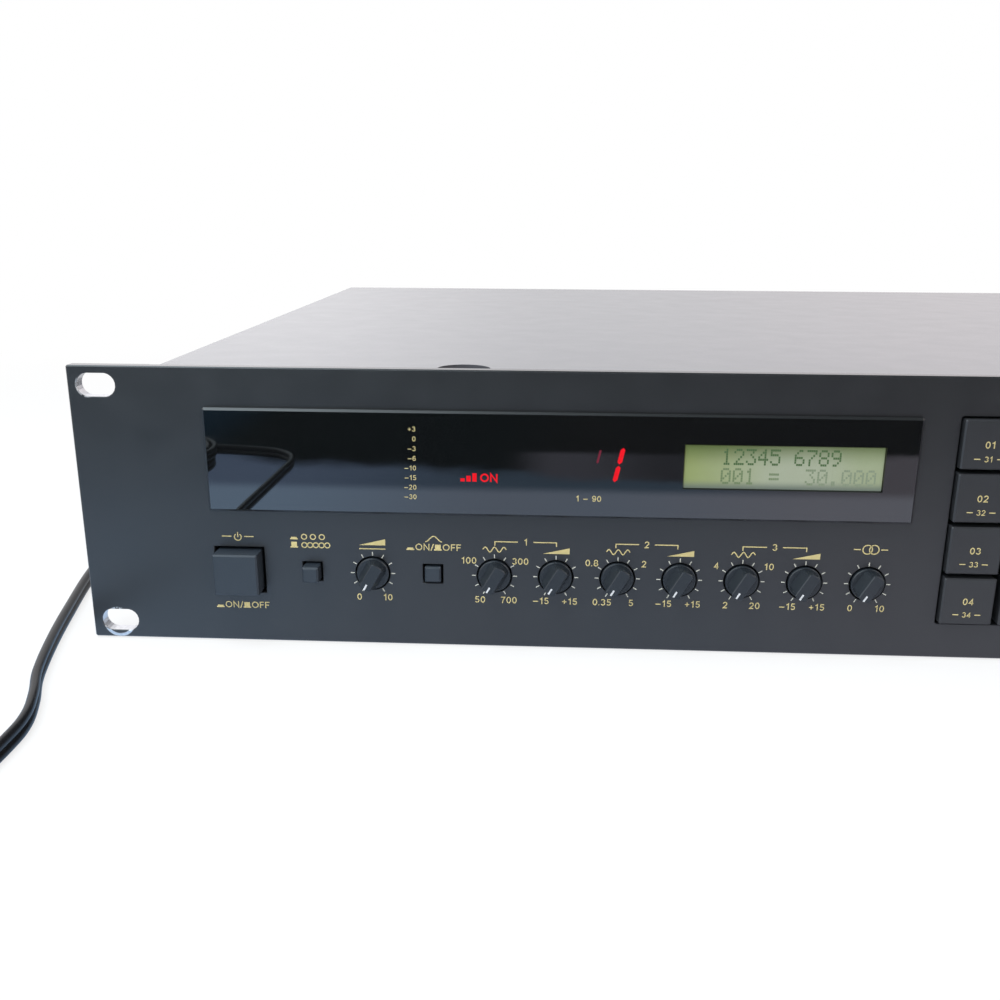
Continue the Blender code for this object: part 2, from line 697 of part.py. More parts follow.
def build_feet(rubber):
    """Four low rubber feet under the chassis."""
    height = FLOOR_CLEARANCE + CHASSIS_LIFT - GAP
    wide = circle(0.0, 0.0, FOOT_RADIUS, 20)
    sections = ((wide.grown(-0.0012), 0.0), (wide.grown(-0.0006), 0.0006), (wide, height))
    mesh = Loft(sections).mesh("foot")
    side = CASE_INSET + FOOT_FROM_SIDE
    for end, depth in (("front", FOOT_FROM_FRONT), ("rear", CASE_DEPTH - FOOT_FROM_BACK)):
        for hand, x in (("left", side), ("right", PANEL_WIDTH - side)):
            place(f"foot_{end}_{hand}", mesh, rubber, on_floor(x, depth, 0.0), FACING_UP)


def smooth_points(route, spacing):
    """Points at an even spacing along a smooth curve through a route, ends included."""
    route = np.array(route)
    padded = np.vstack((2 * route[0] - route[1], route, 2 * route[-1] - route[-2]))
    fine = []
    for a, b, c, d in zip(padded, padded[1:], padded[2:], padded[3:]):
        for t in np.linspace(0.0, 1.0, 24, endpoint=False):
            bend = (2 * a - 5 * b + 4 * c - d) * t**2 + (3 * b - a - 3 * c + d) * t**3
            fine.append(b + ((c - a) * t + bend) / 2)
    fine = np.array([*fine, route[-1]])
    along = np.concatenate(([0.0], np.cumsum(np.linalg.norm(np.diff(fine, axis=0), axis=1))))
    stops = np.linspace(0.0, along[-1], round(along[-1] / spacing) + 1)
    return np.stack([np.interp(stops, along, fine[:, axis]) for axis in range(3)], axis=1)


def ease(t):
    """Rises smoothly from 0 to 1."""
    t = min(max(t, 0.0), 1.0)
    return t * t * (3 - 2 * t)


def coil_points():
    """The coil's path: in along the lower layer, up where it reverses, and out along the upper layer."""
    lower = COIL_LIFT + CORD_WIDTH / 2
    centre_x, centre_y = coil_centre()
    points = [(*COIL_ENTRY, lower)]
    count = round(COIL_TURNS * COIL_LOOP_POINTS)
    for i in range(count + 1):
        turn = i / COIL_LOOP_POINTS
        from_middle = turn - COIL_TURNS / 2
        radius = COIL_RADIUS - COIL_PITCH * (COIL_TURNS / 2 - abs(from_middle))
        rise = COIL_LAYER * ease(from_middle * 2 + 0.5)
        angle = -tau * (turn + 0.25)
        points.append((centre_x + radius * cos(angle), centre_y + radius * sin(angle), lower + rise))
    end_x, end_y, end_z = points[-1]
    drop = end_z - PLUG_HALF[1]
    steps = 7
    for i in range(1, steps + 1):
        along = i / steps
        points.append((end_x, end_y + along * COIL_TAIL, end_z - drop * ease((along - 0.2) / 0.6)))
    return points


def coil_centre():
    """The middle of the coil, which the lead enters at its front after a short straight run to the left."""
    return COIL_ENTRY[0] - CORD_WIDTH, COIL_ENTRY[1] + COIL_RADIUS


def least_gap_to_itself(points):
    """The least gap between a coil's turns, from the centres of the cord's two strands, one over the other."""
    path = np.array(smooth_points(points, CORD_THICK / 2))
    strands = np.concatenate([path + (0, 0, side * CORD_THICK / 2) for side in (-1, 1)])
    order = np.tile(np.arange(len(path)), 2)
    least = 1.0
    for i in range(len(path)):
        far = np.abs(order - i) > 6 * CORD_WIDTH / (CORD_THICK / 2)
        for strand in (i, i + len(path)):
            least = min(least, np.linalg.norm(strands[far] - strands[strand], axis=1).min())
    return least - CORD_THICK


def cord_profile(name, lobe_steps):
    """The cord's section: two round strands side by side, as an outline for the tube."""
    radius = CORD_THICK / 2
    reach = radians(135 if lobe_steps > 4 else 120)
    outline = []
    for turned in (0.0, pi):
        for step in range(lobe_steps + 1):
            angle = turned - reach + 2 * reach * step / lobe_steps
            outline.append((cos(turned) * radius + radius * cos(angle), radius * sin(angle)))
    curve = bpy.data.curves.new(name, "CURVE")
    curve.dimensions = "2D"
    curve.fill_mode = "NONE"
    spline = curve.splines.new("POLY")
    spline.points.add(len(outline) - 1)
    for point, (x, y) in zip(spline.points, reversed(outline)):
        point.co = (x, y, 0.0, 1.0)
    spline.use_cyclic_u = True
    profile = bpy.data.objects.new(name, curve)
    bpy.context.scene.collection.objects.link(profile)
    return guide(profile)


def tube(name, points, tilts, profile, material):
    """A filled tube of the cord's section along a path, turned on edge where the tilt is a quarter turn."""
    curve = bpy.data.curves.new(name, "CURVE")
    curve.dimensions = "3D"
    curve.twist_mode = "Z_UP"
    curve.bevel_mode = "OBJECT"
    curve.bevel_object = profile
    curve.use_fill_caps = True
    spline = curve.splines.new("POLY")
    spline.points.add(len(points) - 1)
    for point, place_at, tilt in zip(spline.points, points, tilts):
        point.co = (*place_at, 1.0)
        point.tilt = tilt
    place(name, curve, material, (0.0, 0.0, 0.0), FACING_UP)


def build_lead(vinyl, webbing):
    """The mains lead: ribbed bushing, free stretch, tied coil and two-blade plug."""
    body = circle(0.0, 0.0, BUSHING_HOLE - GAP, 16)
    collar = circle(0.0, 0.0, 0.0090, 16)
    sections = [(body, -0.0060), (body, GAP), (collar, GAP), (collar, 0.0026)]
    ribs = 5
    rib_length = (BUSHING_LENGTH - 0.0026) / ribs
    for rib in range(ribs):
        radius = 0.0062 - 0.0003 * rib
        start = 0.0026 + rib * rib_length
        sections += [
            (circle(0, 0, radius - 0.0008, 16), start),
            (circle(0, 0, radius - 0.0008, 16), start + rib_length * 0.35),
            (circle(0, 0, radius, 16), start + rib_length * 0.45),
            (circle(0, 0, radius, 16), start + rib_length * 0.999),
        ]
    mesh = Loft(sections).mesh("cord_bushing")
    bushing_at = on_rear(BUSHING_FROM_END, BUSHING_HEIGHT - FLOOR_CLEARANCE)
    place("cord_bushing", mesh, vinyl, bushing_at, FACING_REAR)

    free = smooth_points(LEAD_ROUTE, TUBE_STEP)
    # Flat in the bushing, the lead turns on edge behind the case, before it meets the surface.
    begin, end = LEAD_TWIST
    tilts = [pi / 2 * ease((begin - x) / (begin - end)) if y > CASE_DEPTH else pi / 2 for x, y, _ in free]
    profile = cord_profile("twin_profile", 6)
    tube("power_cord", [on_floor(*point) for point in free], tilts, profile, vinyl)

    coil = coil_points()
    print(f"least gap of cord_coil to itself: {least_gap_to_itself(coil) * 1000:.2f} mm")
    profile = cord_profile("coil_profile", 4)
    tube("cord_coil", [on_floor(*point) for point in coil], [pi / 2] * len(coil), profile, vinyl)

    # The tie goes round all the turns where they pass the coil's front, clear of the climb.
    centre_x, centre_y = coil_centre()
    fine = smooth_points(coil, CORD_THICK)
    under_tie = [point for point in fine if abs(point[0] - centre_x) < TIE_WIDTH and point[1] < centre_y]
    _, depths, heights = zip(*under_tie)
    room_y = CORD_THICK / 2 + 2 * GAP
    room_z = CORD_WIDTH / 2 + GAP
    bottom, top = min(heights) - room_z, max(heights) + room_z
    hole = box_outline(min(depths) - room_y, bottom, max(depths) + room_y, top)
    band = ((hole.grown(TIE_THICK), -TIE_WIDTH / 2), (hole.grown(TIE_THICK), TIE_WIDTH / 2))
    opening = ((hole, -TIE_WIDTH / 2), (hole, TIE_WIDTH / 2))
    mesh = Loft(band, through=[opening]).mesh("coil_tie")
    place("coil_tie", mesh, webbing, on_floor(centre_x, 0.0, 0.0), FACING_RIGHT)

    end_x, end_y, _ = coil[-1]
    half_x, half_y = PLUG_HALF
    nose = Outline(0.0, 0.0, CORD_THICK, CORD_WIDTH / 2 + 0.0012, 0.0015, 3)
    shoulder = Outline(0.0, 0.0, half_x * 0.6, half_y * 0.85, 0.003, 3)
    grip = Outline(0.0, 0.0, half_x, half_y - GAP, 0.003, 3)
    sections = (
        (nose, 0.0),
        (nose.grown(0.0005), PLUG_LENGTH - 0.0270),
        (shoulder, PLUG_LENGTH - 0.0200),
        (grip, PLUG_LENGTH - 0.0130),
        (grip, PLUG_LENGTH - 0.0008),
        (grip.grown(-0.0008), PLUG_LENGTH),
    )
    blades = tuple(Feature(Outline(side * 0.00635, 0.0, 0.00075, 0.0032), 0.0175) for side in (-1, 1))
    mesh = Loft(sections, front=blades).mesh("power_plug")
    place("power_plug", mesh, vinyl, on_floor(end_x, end_y + GAP, half_y), FACING_REAR)


def main():
    for piece in list(bpy.data.objects):
        bpy.data.objects.remove(piece)
    panel_paint = finish("panel_paint", (0.050, 0.056, 0.068), 0.55)
    case_paint = finish("case_paint", (0.055, 0.055, 0.060), 0.42)
    acrylic = finish("smoked_acrylic", (0.010, 0.011, 0.013), 0.06)
    black = finish("moulded_black", (0.030, 0.032, 0.036), 0.45)
    key_grey = finish("key_grey", (0.045, 0.052, 0.066), 0.50)
    laminate = finish("board_laminate", (0.030, 0.120, 0.050), 0.50)
    plated = finish("plated_steel", (0.620, 0.620, 0.640), 0.35, 1.0)
    rubber = finish("foot_rubber", (0.020, 0.020, 0.020), 0.80)
    vinyl = finish("cord_vinyl", (0.022, 0.022, 0.026), 0.38)
    build_front_panel(panel_paint)
    build_window(acrylic)
    build_knobs(black)
    build_buttons(black)
    build_keys(key_grey)
    build_cover(case_paint)
    build_chassis(case_paint)
    build_rear_panel(case_paint)
    build_sockets(plated, black)
    build_boards(laminate, plated)
    build_feet(rubber)
    build_lead(vinyl, rubber)


main()
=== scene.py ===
"""Dresses a two-unit rack effects unit: printed marks, displays, screws, its mains lead and every finish."""

import logging
from collections.abc import Iterable, Sequence
from dataclasses import dataclass, field
from enum import Enum
from itertools import product
from math import cos, pi, radians, sin, tau

import bmesh
import bpy
import numpy as np
from mathutils import Matrix, Vector


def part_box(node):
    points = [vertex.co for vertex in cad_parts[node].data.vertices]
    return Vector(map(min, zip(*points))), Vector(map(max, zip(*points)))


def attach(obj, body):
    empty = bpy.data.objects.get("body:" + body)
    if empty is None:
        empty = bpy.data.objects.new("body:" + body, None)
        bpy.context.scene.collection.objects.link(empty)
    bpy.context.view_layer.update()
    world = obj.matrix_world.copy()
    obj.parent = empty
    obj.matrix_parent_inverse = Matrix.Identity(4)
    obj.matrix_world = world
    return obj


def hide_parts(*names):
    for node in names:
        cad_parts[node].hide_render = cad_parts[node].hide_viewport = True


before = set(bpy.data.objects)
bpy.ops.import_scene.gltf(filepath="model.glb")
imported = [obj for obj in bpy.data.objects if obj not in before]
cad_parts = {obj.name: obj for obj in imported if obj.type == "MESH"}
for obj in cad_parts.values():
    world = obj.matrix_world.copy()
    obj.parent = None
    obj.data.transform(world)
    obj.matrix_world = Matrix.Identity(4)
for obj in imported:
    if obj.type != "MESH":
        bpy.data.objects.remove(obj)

log = logging.getLogger("rack_unit")
UNIT = "unit"
SOCKETS = ("input_socket_left", "input_socket_right", "output_socket_left", "output_socket_right")
WHITE = (1.0, 1.0, 1.0)
FIGURE_WIDTH = 0.56
MASK_EDGE = 0.0001
Point = tuple[float, float]
Place = tuple[float, float, float]
Colour = tuple[float, float, float]
Section = tuple[Sequence[Point], float]
Step = tuple[float, float, Colour]
Bands = tuple[Colour | Step, ...]


class Align(Enum):
    """Where a text's anchor lies along its width."""

    LEFT = 0.0
    CENTRE = 0.5
    RIGHT = 1.0


class Wire:
    """A shader socket that takes part in Python expressions, each of which adds its Math node."""

    def __init__(self, graph: "Graph", socket: bpy.types.NodeSocket) -> None:
        """Keeps the graph that new nodes go into."""
        self.graph = graph
        self.socket = socket

    def __add__(self, other: "Wire | float") -> "Wire":
        """Adds a value."""
        return self.graph.math("ADD", self, other)

    def __sub__(self, other: "Wire | float") -> "Wire":
        """Subtracts a value."""
        return self.graph.math("SUBTRACT", self, other)

    def __rsub__(self, other: float) -> "Wire":
        """Subtracts this value from a number."""
        return self.graph.math("SUBTRACT", other, self)

    def __mul__(self, other: "Wire | float") -> "Wire":
        """Multiplies by a value."""
        return self.graph.math("MULTIPLY", self, other)

    def __pow__(self, power: float) -> "Wire":
        """Raises the value to a power."""
        return self.graph.math("POWER", self, power)

    def __abs__(self) -> "Wire":
        """Drops the sign."""
        return self.graph.math("ABSOLUTE", self, 0.0)

    __radd__ = __add__
    __rmul__ = __mul__

    def most(self, other: "Wire | float") -> "Wire":
        """The larger of two values."""
        return self.graph.math("MAXIMUM", self, other)

    def least(self, other: "Wire | float") -> "Wire":
        """The smaller of two values."""
        return self.graph.math("MINIMUM", self, other)

    def rise(self, low: float, high: float) -> "Wire":
        """A smooth step from 0 at the low value to 1 at the high one."""
        values = {"Value": self, "From Min": low, "From Max": high}
        return self.graph.node("ShaderNodeMapRange", {"interpolation_type": "SMOOTHSTEP"}, values)

    def fall(self, low: float, high: float) -> "Wire":
        """A smooth step from 1 at the low value to 0 at the high one."""
        return 1.0 - self.rise(low, high)

    def blend(self, first: "Wire | float", second: "Wire | float") -> "Wire":
        """A value that goes from the first where this one is 0 to the second where it is 1."""
        return first * (1.0 - self) + second * self

    def beyond(self, centre: float, half: float) -> "Wire":
        """How far the value lies outside a span about a centre, and 0 inside it."""
        return (abs(self - centre) - half).most(0.0)

    def hypot(self, other: "Wire") -> "Wire":
        """The length of the vector that has these two parts."""
        return (self ** 2.0 + other ** 2.0) ** 0.5

    def beside(self, output: int | str) -> "Wire":
        """Another output of the same node."""
        return Wire(self.graph, self.socket.node.outputs[output])


class Graph:
    """The node tree of one material or of the world."""

    def __init__(self, tree: bpy.types.NodeTree) -> None:
        """Wraps a node tree."""
        self.tree = tree

    def node(self, kind: str, settings: dict, values: dict, output: int | str = 0) -> Wire:
        """Adds any node.

        Args:
            kind: The node's type.
            settings: Its own settings, which are set first.
            values: Numbers, colours or wires for its sockets, by name or index.
            output: The socket to read.

        Returns:
            The chosen output.
        """
        node = self.tree.nodes.new(kind)
        for key, value in settings.items():
            setattr(node, key, value)
        for key, value in values.items():
            self.feed(node.inputs[key], value)
        return Wire(self, node.outputs[output])

    def feed(self, socket: bpy.types.NodeSocket, value: object) -> None:
        """Links a wire to a socket, or sets a plain value on it.

        Args:
            socket: The socket.
            value: A wire, a number, a colour or a vector.
        """
        if isinstance(value, Wire):
            self.tree.links.new(value.socket, socket)
        elif socket.type == "RGBA":
            socket.default_value = (*value, 1.0)
        else:
            socket.default_value = value

    def math(self, operation: str, first: "Wire | float", second: "Wire | float") -> Wire:
        """One Math node on two values."""
        return self.node("ShaderNodeMath", {"operation": operation}, {0: first, 1: second})

    def place(self) -> Wire:
        """The piece's own coordinates, in metres."""
        return self.node("ShaderNodeTexCoord", {}, {}, "Object")

    def split(self, vector: Wire) -> tuple[Wire, Wire, Wire]:
        """A vector's three parts."""
        x = self.node("ShaderNodeSeparateXYZ", {}, {0: vector})
        return x, x.beside(1), x.beside(2)

    def noise(self, vector: Wire, size: float, detail: float = 2.0) -> Wire:
        """Noise whose features have about the given size in metres."""
        return self.node("ShaderNodeTexNoise", {}, {"Vector": vector, "Scale": 1.0 / size, "Detail": detail})

    def stretched(self, vector: Wire, scale: Place) -> Wire:
        """Coordinates scaled along each axis, for a grain that runs one way."""
        return self.node("ShaderNodeMapping", {}, {"Vector": vector, "Scale": scale})

    def tint(self, colour: Colour, tone: Wire) -> Wire:
        """A colour made lighter or darker by a value."""
        return self.node("ShaderNodeVectorMath", {"operation": "SCALE"}, {0: colour, "Scale": tone})

    def mix(self, share: Wire, first: "Wire | Colour", second: "Wire | Colour") -> Wire:
        """A mix of two colours."""
        return self.node("ShaderNodeMix", {"data_type": "RGBA"}, {0: share, 6: first, 7: second}, 2)

    def bands(self, along: Wire, first: Colour, *steps: Step) -> Wire:
        """A colour that goes over into others along a value.

        Args:
            along: The value.
            first: The colour before the first step.
            *steps: Where each step starts and ends, and the colour after it.

        Returns:
            The colour.
        """
        colour = first
        for low, high, after in steps:
            colour = self.mix(along.rise(low, high), colour, after)
        return colour

    def bump(self, height: Wire, distance: float) -> Wire:
        """A normal bent by a height whose full range is a distance in metres."""
        return self.node("ShaderNodeBump", {}, {"Height": height, "Distance": distance, "Strength": 1.0})


@dataclass(frozen=True)
class Finish:
    """A moulded or painted finish: one colour with a mottle, and a fine grain in its gloss and surface."""

    name: str
    colour: Colour
    roughness: float
    metallic: float = 0.0
    mottle: float = 0.12
    mottle_size: float = 0.012
    grain_size: float = 0.0005
    relief: float = 0.00001
    coat: float = 0.0
    coat_roughness: float = 0.1
    specular: float = 0.5
    ior: float = 1.5

    def dress(self) -> bpy.types.Material:
        """Makes the material.

        Returns:
            The material, with this finish's nodes.
        """
        material = bpy.data.materials.new(self.name)
        material.use_nodes = True
        shader = material.node_tree.nodes["Principled BSDF"]
        graph = Graph(material.node_tree)
        fixed = {
            "Roughness": self.roughness,
            "Metallic": self.metallic,
            "Coat Weight": self.coat,
            "Coat Roughness": self.coat_roughness,
            "Specular IOR Level": self.specular,
            "IOR": self.ior,
        }
        for key, value in (fixed | self.shade(graph)).items():
            graph.feed(shader.inputs[key], value)
        return material

    def base(self, graph: Graph) -> tuple[Wire, Wire, Wire]:
        """The parts that most finishes start from.

        Args:
            graph: The material's nodes.

        Returns:
            The mottled colour, the roughness and the grain's height.
        """
        place = graph.place()
        grain = graph.noise(place, self.grain_size, 3.0)
        broad = graph.noise(place, self.mottle_size, 4.0)
        tone = (1.0 - self.mottle) + 2.0 * self.mottle * (0.7 * broad + 0.3 * grain)
        rough = self.roughness * (0.85 + 0.3 * broad) + 0.06 * (grain - 0.5)
        return graph.tint(self.colour, tone), rough, grain

    def links(self, graph: Graph, colour: Wire, rough: Wire, height: Wire, metal: Wire | None = None) -> dict:
        """The shader's links for a colour, a roughness and a surface's height, by socket."""
        found = {"Base Color": colour, "Roughness": rough, "Normal": graph.bump(height, self.relief)}
        return found if metal is None else found | {"Metallic": metal}

    def shade(self, graph: Graph) -> dict:
        """The shader's values and links that this finish sets, by socket."""
        return self.links(graph, *self.base(graph))


@dataclass(frozen=True)
class PanelPaint(Finish):
    """The panel's satin paint: bare in the slots' walls, and rubbed by washers at the left end.

    Spans are where a mask starts and ends, from the left end, the lower edge, a slot or a washer.
    """

    left: float = 0.0
    bottom: float = 0.0
    front: float = 0.0
    width: float = 0.4826
    height: float = 0.0880
    behind: Point = (0.0002, 0.0005)
    top_edge: float = 0.0004
    slot: Point = (0.00875, 0.0059)
    slot_half: Point = (0.0023, 0.0036)
    wall: Point = (0.0003, 0.0005)
    rim: Point = (0.0002, 0.0005)
    rim_across: Point = (0.0040, 0.0075)
    rim_from: Point = (0.0700, 0.0750)
    rim_to: Point = (0.0830, 0.0850)
    washer: Point = (0.0083, 0.0052)
    ring_from: Point = (0.0039, 0.0042)
    ring_to: Point = (0.0049, 0.0052)
    ring_low: Point = (0.0040, 0.0070)
    ring_high: Point = (0.0085, 0.0092)
    ring_across: Point = (0.0085, 0.0100)
    scratch_size: float = 0.0016
    rim_scratch: Point = (0.40, 0.50)
    low_scratch: Point = (0.33, 0.42)
    high_scratch: Point = (0.46, 0.52)
    rub_size: float = 0.0009
    bare: Colour = (0.78, 0.78, 0.80)
    bare_roughness: float = 0.32
    bare_metallic: float = 0.85

    def shade(self, graph: Graph) -> dict:
        """Mixes the bare metal into the paint.

        Args:
            graph: The material's nodes.

        Returns:
            The shader's values and links.
        """
        colour, rough, grain = self.base(graph)
        place = graph.place()
        x, y, z = graph.split(place)
        across, up = x - self.left, z - self.bottom
        scratches = graph.noise(place, self.scratch_size, 5.0)
        behind = (y - self.front).rise(*self.behind)

        from_end = 0.5 * self.width - abs(across - 0.5 * self.width)
        from_edge = 0.5 * self.height - abs(up - 0.5 * self.height)
        from_slot = from_end.beyond(self.slot[0], self.slot_half[0]).hypot(from_edge - self.slot[1])
        from_slot = from_slot - self.slot_half[1]
        wall = from_slot.fall(*self.wall) * behind
        rim = from_slot.fall(*self.rim) * across.fall(*self.rim_across)
        rim = rim * up.rise(*self.rim_from) * up.fall(*self.rim_to) * scratches.rise(*self.rim_scratch)

        from_washer = (across - self.washer[0]).hypot(up - self.washer[1])
        ring = from_washer.rise(*self.ring_from) * from_washer.fall(*self.ring_to)
        below = ring * up.fall(*self.ring_low) * scratches.rise(*self.low_scratch)
        above = ring * up.rise(*self.ring_high) * across.fall(*self.ring_across)
        above = above * scratches.rise(*self.high_scratch)

        worn = (below.most(above).most(0.6 * rim) * (1.0 - behind)).most(wall)
        rubbed = graph.noise(graph.stretched(place, (1.0, 1.0, 6.0)), self.rub_size)
        on_top = up.rise(self.height - self.top_edge, self.height)
        colour = graph.mix(worn, colour, graph.tint(self.bare, 0.75 + 0.5 * rubbed))
        rough = worn.blend(rough, self.bare_roughness) * (1.0 - 0.75 * on_top)
        return self.links(graph, colour, rough, worn.blend(grain, -0.6), worn * self.bare_metallic)


@dataclass(frozen=True)
class ButtonCap(Finish):
    """Moulded plastic whose left and right sides, which slide in the panel, are darkened with painted shade
    and are rougher.
    """

    # painted shade: the share of the colour that the left and right sides keep
    grime: float = 0.7
    grime_roughness: float = 0.25
    sideways: Point = (0.60, 0.95)

    def shade(self, graph: Graph) -> dict:
        """Darkens the sides with painted shade, and roughens them.

        Args:
            graph: The material's nodes.

        Returns:
            The shader's values and links.
        """
        colour, rough, grain = self.base(graph)
        facing, _, _ = graph.split(graph.node("ShaderNodeNewGeometry", {}, {}, "Normal"))
        side = abs(facing).rise(*self.sideways)
        # painted shade: the sides take a darker copy of the colour that stands for the shade on them; the
        # added roughness is the surface's own
        shaded_colour = tuple(self.grime * value for value in self.colour)
        return self.links(graph, graph.mix(side, colour, shaded_colour), rough + self.grime_roughness * side, grain)


@dataclass(frozen=True)
class Acrylic(Finish):
    """Smoked acrylic, polished, with faint wiping marks in its gloss and a finely sanded bevel."""

    low: Point = (0.0, 0.0)
    high: Point = (1.0, 1.0)
    bevel: float = 0.0007
    sanded: float = 0.35
    wipe_size: float = 0.030
    wipe_span: Point = (0.50, 0.80)
    dust_size: float = 0.0009
    dust_span: Point = (0.70, 0.78)
    ripple_size: float = 0.060
    ripple: float = 0.00004

    def shade(self, graph: Graph) -> dict:
        """Lays wiping marks and dust on the gloss, and sands the bevel.

        Args:
            graph: The material's nodes.

        Returns:
            The shader's values and links.
        """
        place = graph.place()
        x, _, z = graph.split(place)
        wiped = graph.noise(graph.stretched(place, (1.0, 1.0, 5.0)), self.wipe_size, 4.0)
        dust = graph.noise(place, self.dust_size).rise(*self.dust_span)
        inset = (x - self.low[0]).least(self.high[0] - x).least(z - self.low[1]).least(self.high[1] - z)
        on_bevel = inset.fall(self.bevel - MASK_EDGE, self.bevel)
        polish = self.roughness + 0.03 * wiped.rise(*self.wipe_span) + 0.10 * dust
        return {
            "Base Color": graph.tint(self.colour, 0.9 + 0.2 * wiped + 1.2 * dust),
            "Roughness": on_bevel.blend(polish, self.sanded),
            "Normal": graph.bump(graph.noise(place, self.ripple_size, 1.0), self.ripple),
        }


@dataclass(frozen=True)
class CrystalGlass(Finish):
    """The lit crystal display: olive at its ends and top, paler in the middle, on a metal frame.

    Spans are where a colour starts and ends, as shares of the lit part's width or height.
    """

    pale: Colour = (0.250, 0.270, 0.200)
    right_end: Colour = (0.225, 0.252, 0.160)
    upper: Colour = (0.070, 0.098, 0.028)
    strip: Colour = (0.105, 0.125, 0.105)
    edge: Colour = (0.052, 0.070, 0.069)
    cell: Colour = (0.10, 0.13, 0.06)
    metal: Colour = (0.45, 0.45, 0.47)
    low: Point = (0.0, 0.0)
    high: Point = (1.0, 1.0)
    face: float = 0.0
    frame_depth: Point = (0.0030, 0.0034)
    right_span: Point = (0.35, 0.75)
    pale_from: Point = (0.02, 0.50)
    pale_to: Point = (0.60, 0.98)
    upper_span: Point = (0.42, 1.10)
    strip_span: Point = (0.0, 0.24)
    edge_span: Point = (0.965, 0.990)
    patch_size: float = 0.020
    cell_size: float = 0.0007
    glow: float = 0.55

    def shade(self, graph: Graph) -> dict:
        """Shades the lit face, and leaves the frame behind it as metal.

        Args:
            graph: The material's nodes.

        Returns:
            The shader's values and links.
        """
        place = graph.place()
        x, y, z = graph.split(place)
        along = (x - self.low[0]) * (1.0 / (self.high[0] - self.low[0]))
        up = (z - self.low[1]) * (1.0 / (self.high[1] - self.low[1]))
        patch = 0.25 * (graph.noise(place, self.patch_size) - 0.5)
        wavy = along + patch
        lit = graph.mix(wavy.rise(*self.right_span), self.colour, self.right_end)
        lit = graph.mix(wavy.rise(*self.pale_from) * wavy.fall(*self.pale_to), lit, self.pale)
        lit = graph.mix((up + 0.4 * patch - 0.12 * along).rise(*self.upper_span), lit, self.upper)
        lit = graph.mix(up.fall(*self.strip_span), lit, self.strip)
        lit = graph.mix(along.rise(*self.edge_span), lit, self.edge)
        lit = graph.mix(0.08 * graph.noise(place, self.cell_size, 1.0), lit, self.cell)
        behind = (y - self.face).rise(*self.frame_depth)
        return {
            "Base Color": graph.mix(behind, lit, self.metal),
            "Emission Color": graph.mix(behind, lit, (0.0, 0.0, 0.0)),
            "Emission Strength": self.glow,
            "Metallic": behind * 0.9,
        }


@dataclass(frozen=True)
class CrystalInk(Finish):
    """The display's dark cells: strong in the upper row, faint in the lower one and fainter to its right."""

    lower_left: Colour = (0.100, 0.140, 0.066)
    lower_right: Colour = (0.155, 0.186, 0.125)
    row: float = 0.0
    left: float = 0.0
    right: float = 1.0
    glow: float = 0.55

    def shade(self, graph: Graph) -> dict:
        """Fades the lower row.

        Args:
            graph: The material's nodes.

        Returns:
            The shader's values and links.
        """
        x, _, z = graph.split(graph.place())
        lower = graph.mix(x.rise(self.left, self.right), self.lower_left, self.lower_right)
        ink = graph.mix(z.rise(self.row - MASK_EDGE, self.row + MASK_EDGE), lower, self.colour)
        return {"Base Color": ink, "Emission Color": ink, "Emission Strength": self.glow}


@dataclass(frozen=True)
class Glow(Finish):
    """A lit or half-lit element on the smoked window."""

    glow: float = 1.0
    uneven_size: float = 0.0012
    unlit: Colour = (0.020, 0.002, 0.003)

    def shade(self, graph: Graph) -> dict:
        """Lights the element, a little unevenly."""
        colour = graph.tint(self.colour, 0.80 + 0.4 * graph.noise(graph.place(), self.uneven_size))
        return {"Base Color": self.unlit, "Emission Color": colour, "Emission Strength": self.glow}


@dataclass(frozen=True)
class SocketMetal(Finish):
    """A plated socket shell round a black insert, with plated contacts."""

    centre: Point = (0.0, 0.0)
    insert: float = 0.0081
    contacts: tuple[Point, ...] = ()
    contact_radius: float = 0.00135
    black: Colour = (0.018, 0.018, 0.020)
    black_roughness: float = 0.55

    def shade(self, graph: Graph) -> dict:
        """Puts the insert inside the shell.

        Args:
            graph: The material's nodes.

        Returns:
            The shader's values and links.
        """
        colour, rough, grain = self.base(graph)
        x, _, z = graph.split(graph.place())
        from_centre = (x - self.centre[0]).hypot(z - self.centre[1])
        inside = from_centre.fall(self.insert, self.insert + MASK_EDGE)
        for spot in self.contacts:
            from_spot = (x - spot[0]).hypot(z - spot[1])
            inside = inside * from_spot.rise(self.contact_radius - MASK_EDGE, self.contact_radius)
        rough = inside.blend(rough, self.black_roughness)
        return self.links(graph, graph.mix(inside, colour, self.black), rough, grain, 1.0 - inside)


@dataclass(frozen=True)
class PlugVinyl(Finish):
    """The plug's moulded vinyl, with plated blades past its face."""

    face: float = 0.0
    blade: Colour = (0.72, 0.70, 0.66)
    blade_roughness: float = 0.28

    def shade(self, graph: Graph) -> dict:
        """Plates the blades.

        Args:
            graph: The material's nodes.

        Returns:
            The shader's values and links.
        """
        colour, rough, grain = self.base(graph)
        _, y, _ = graph.split(graph.place())
        metal = y.rise(self.face, self.face + MASK_EDGE)
        rough = metal.blend(rough, self.blade_roughness)
        return self.links(graph, graph.mix(metal, colour, self.blade), rough, grain, metal)


@dataclass(frozen=True)
class Laminate(Finish):
    """Green board laminate with paler tracks."""

    track: Colour = (0.10, 0.22, 0.08)
    track_size: float = 0.003

    def shade(self, graph: Graph) -> dict:
        """Lays the tracks over the laminate.

        Args:
            graph: The material's nodes.

        Returns:
            The shader's values and links.
        """
        colour, rough, grain = self.base(graph)
        tracks = graph.noise(graph.stretched(graph.place(), (1.0, 1.0, 0.2)), self.track_size, 1.0)
        traced = graph.mix(0.35 * tracks.rise(0.52, 0.54), colour, self.track)
        return self.links(graph, traced, rough, grain)


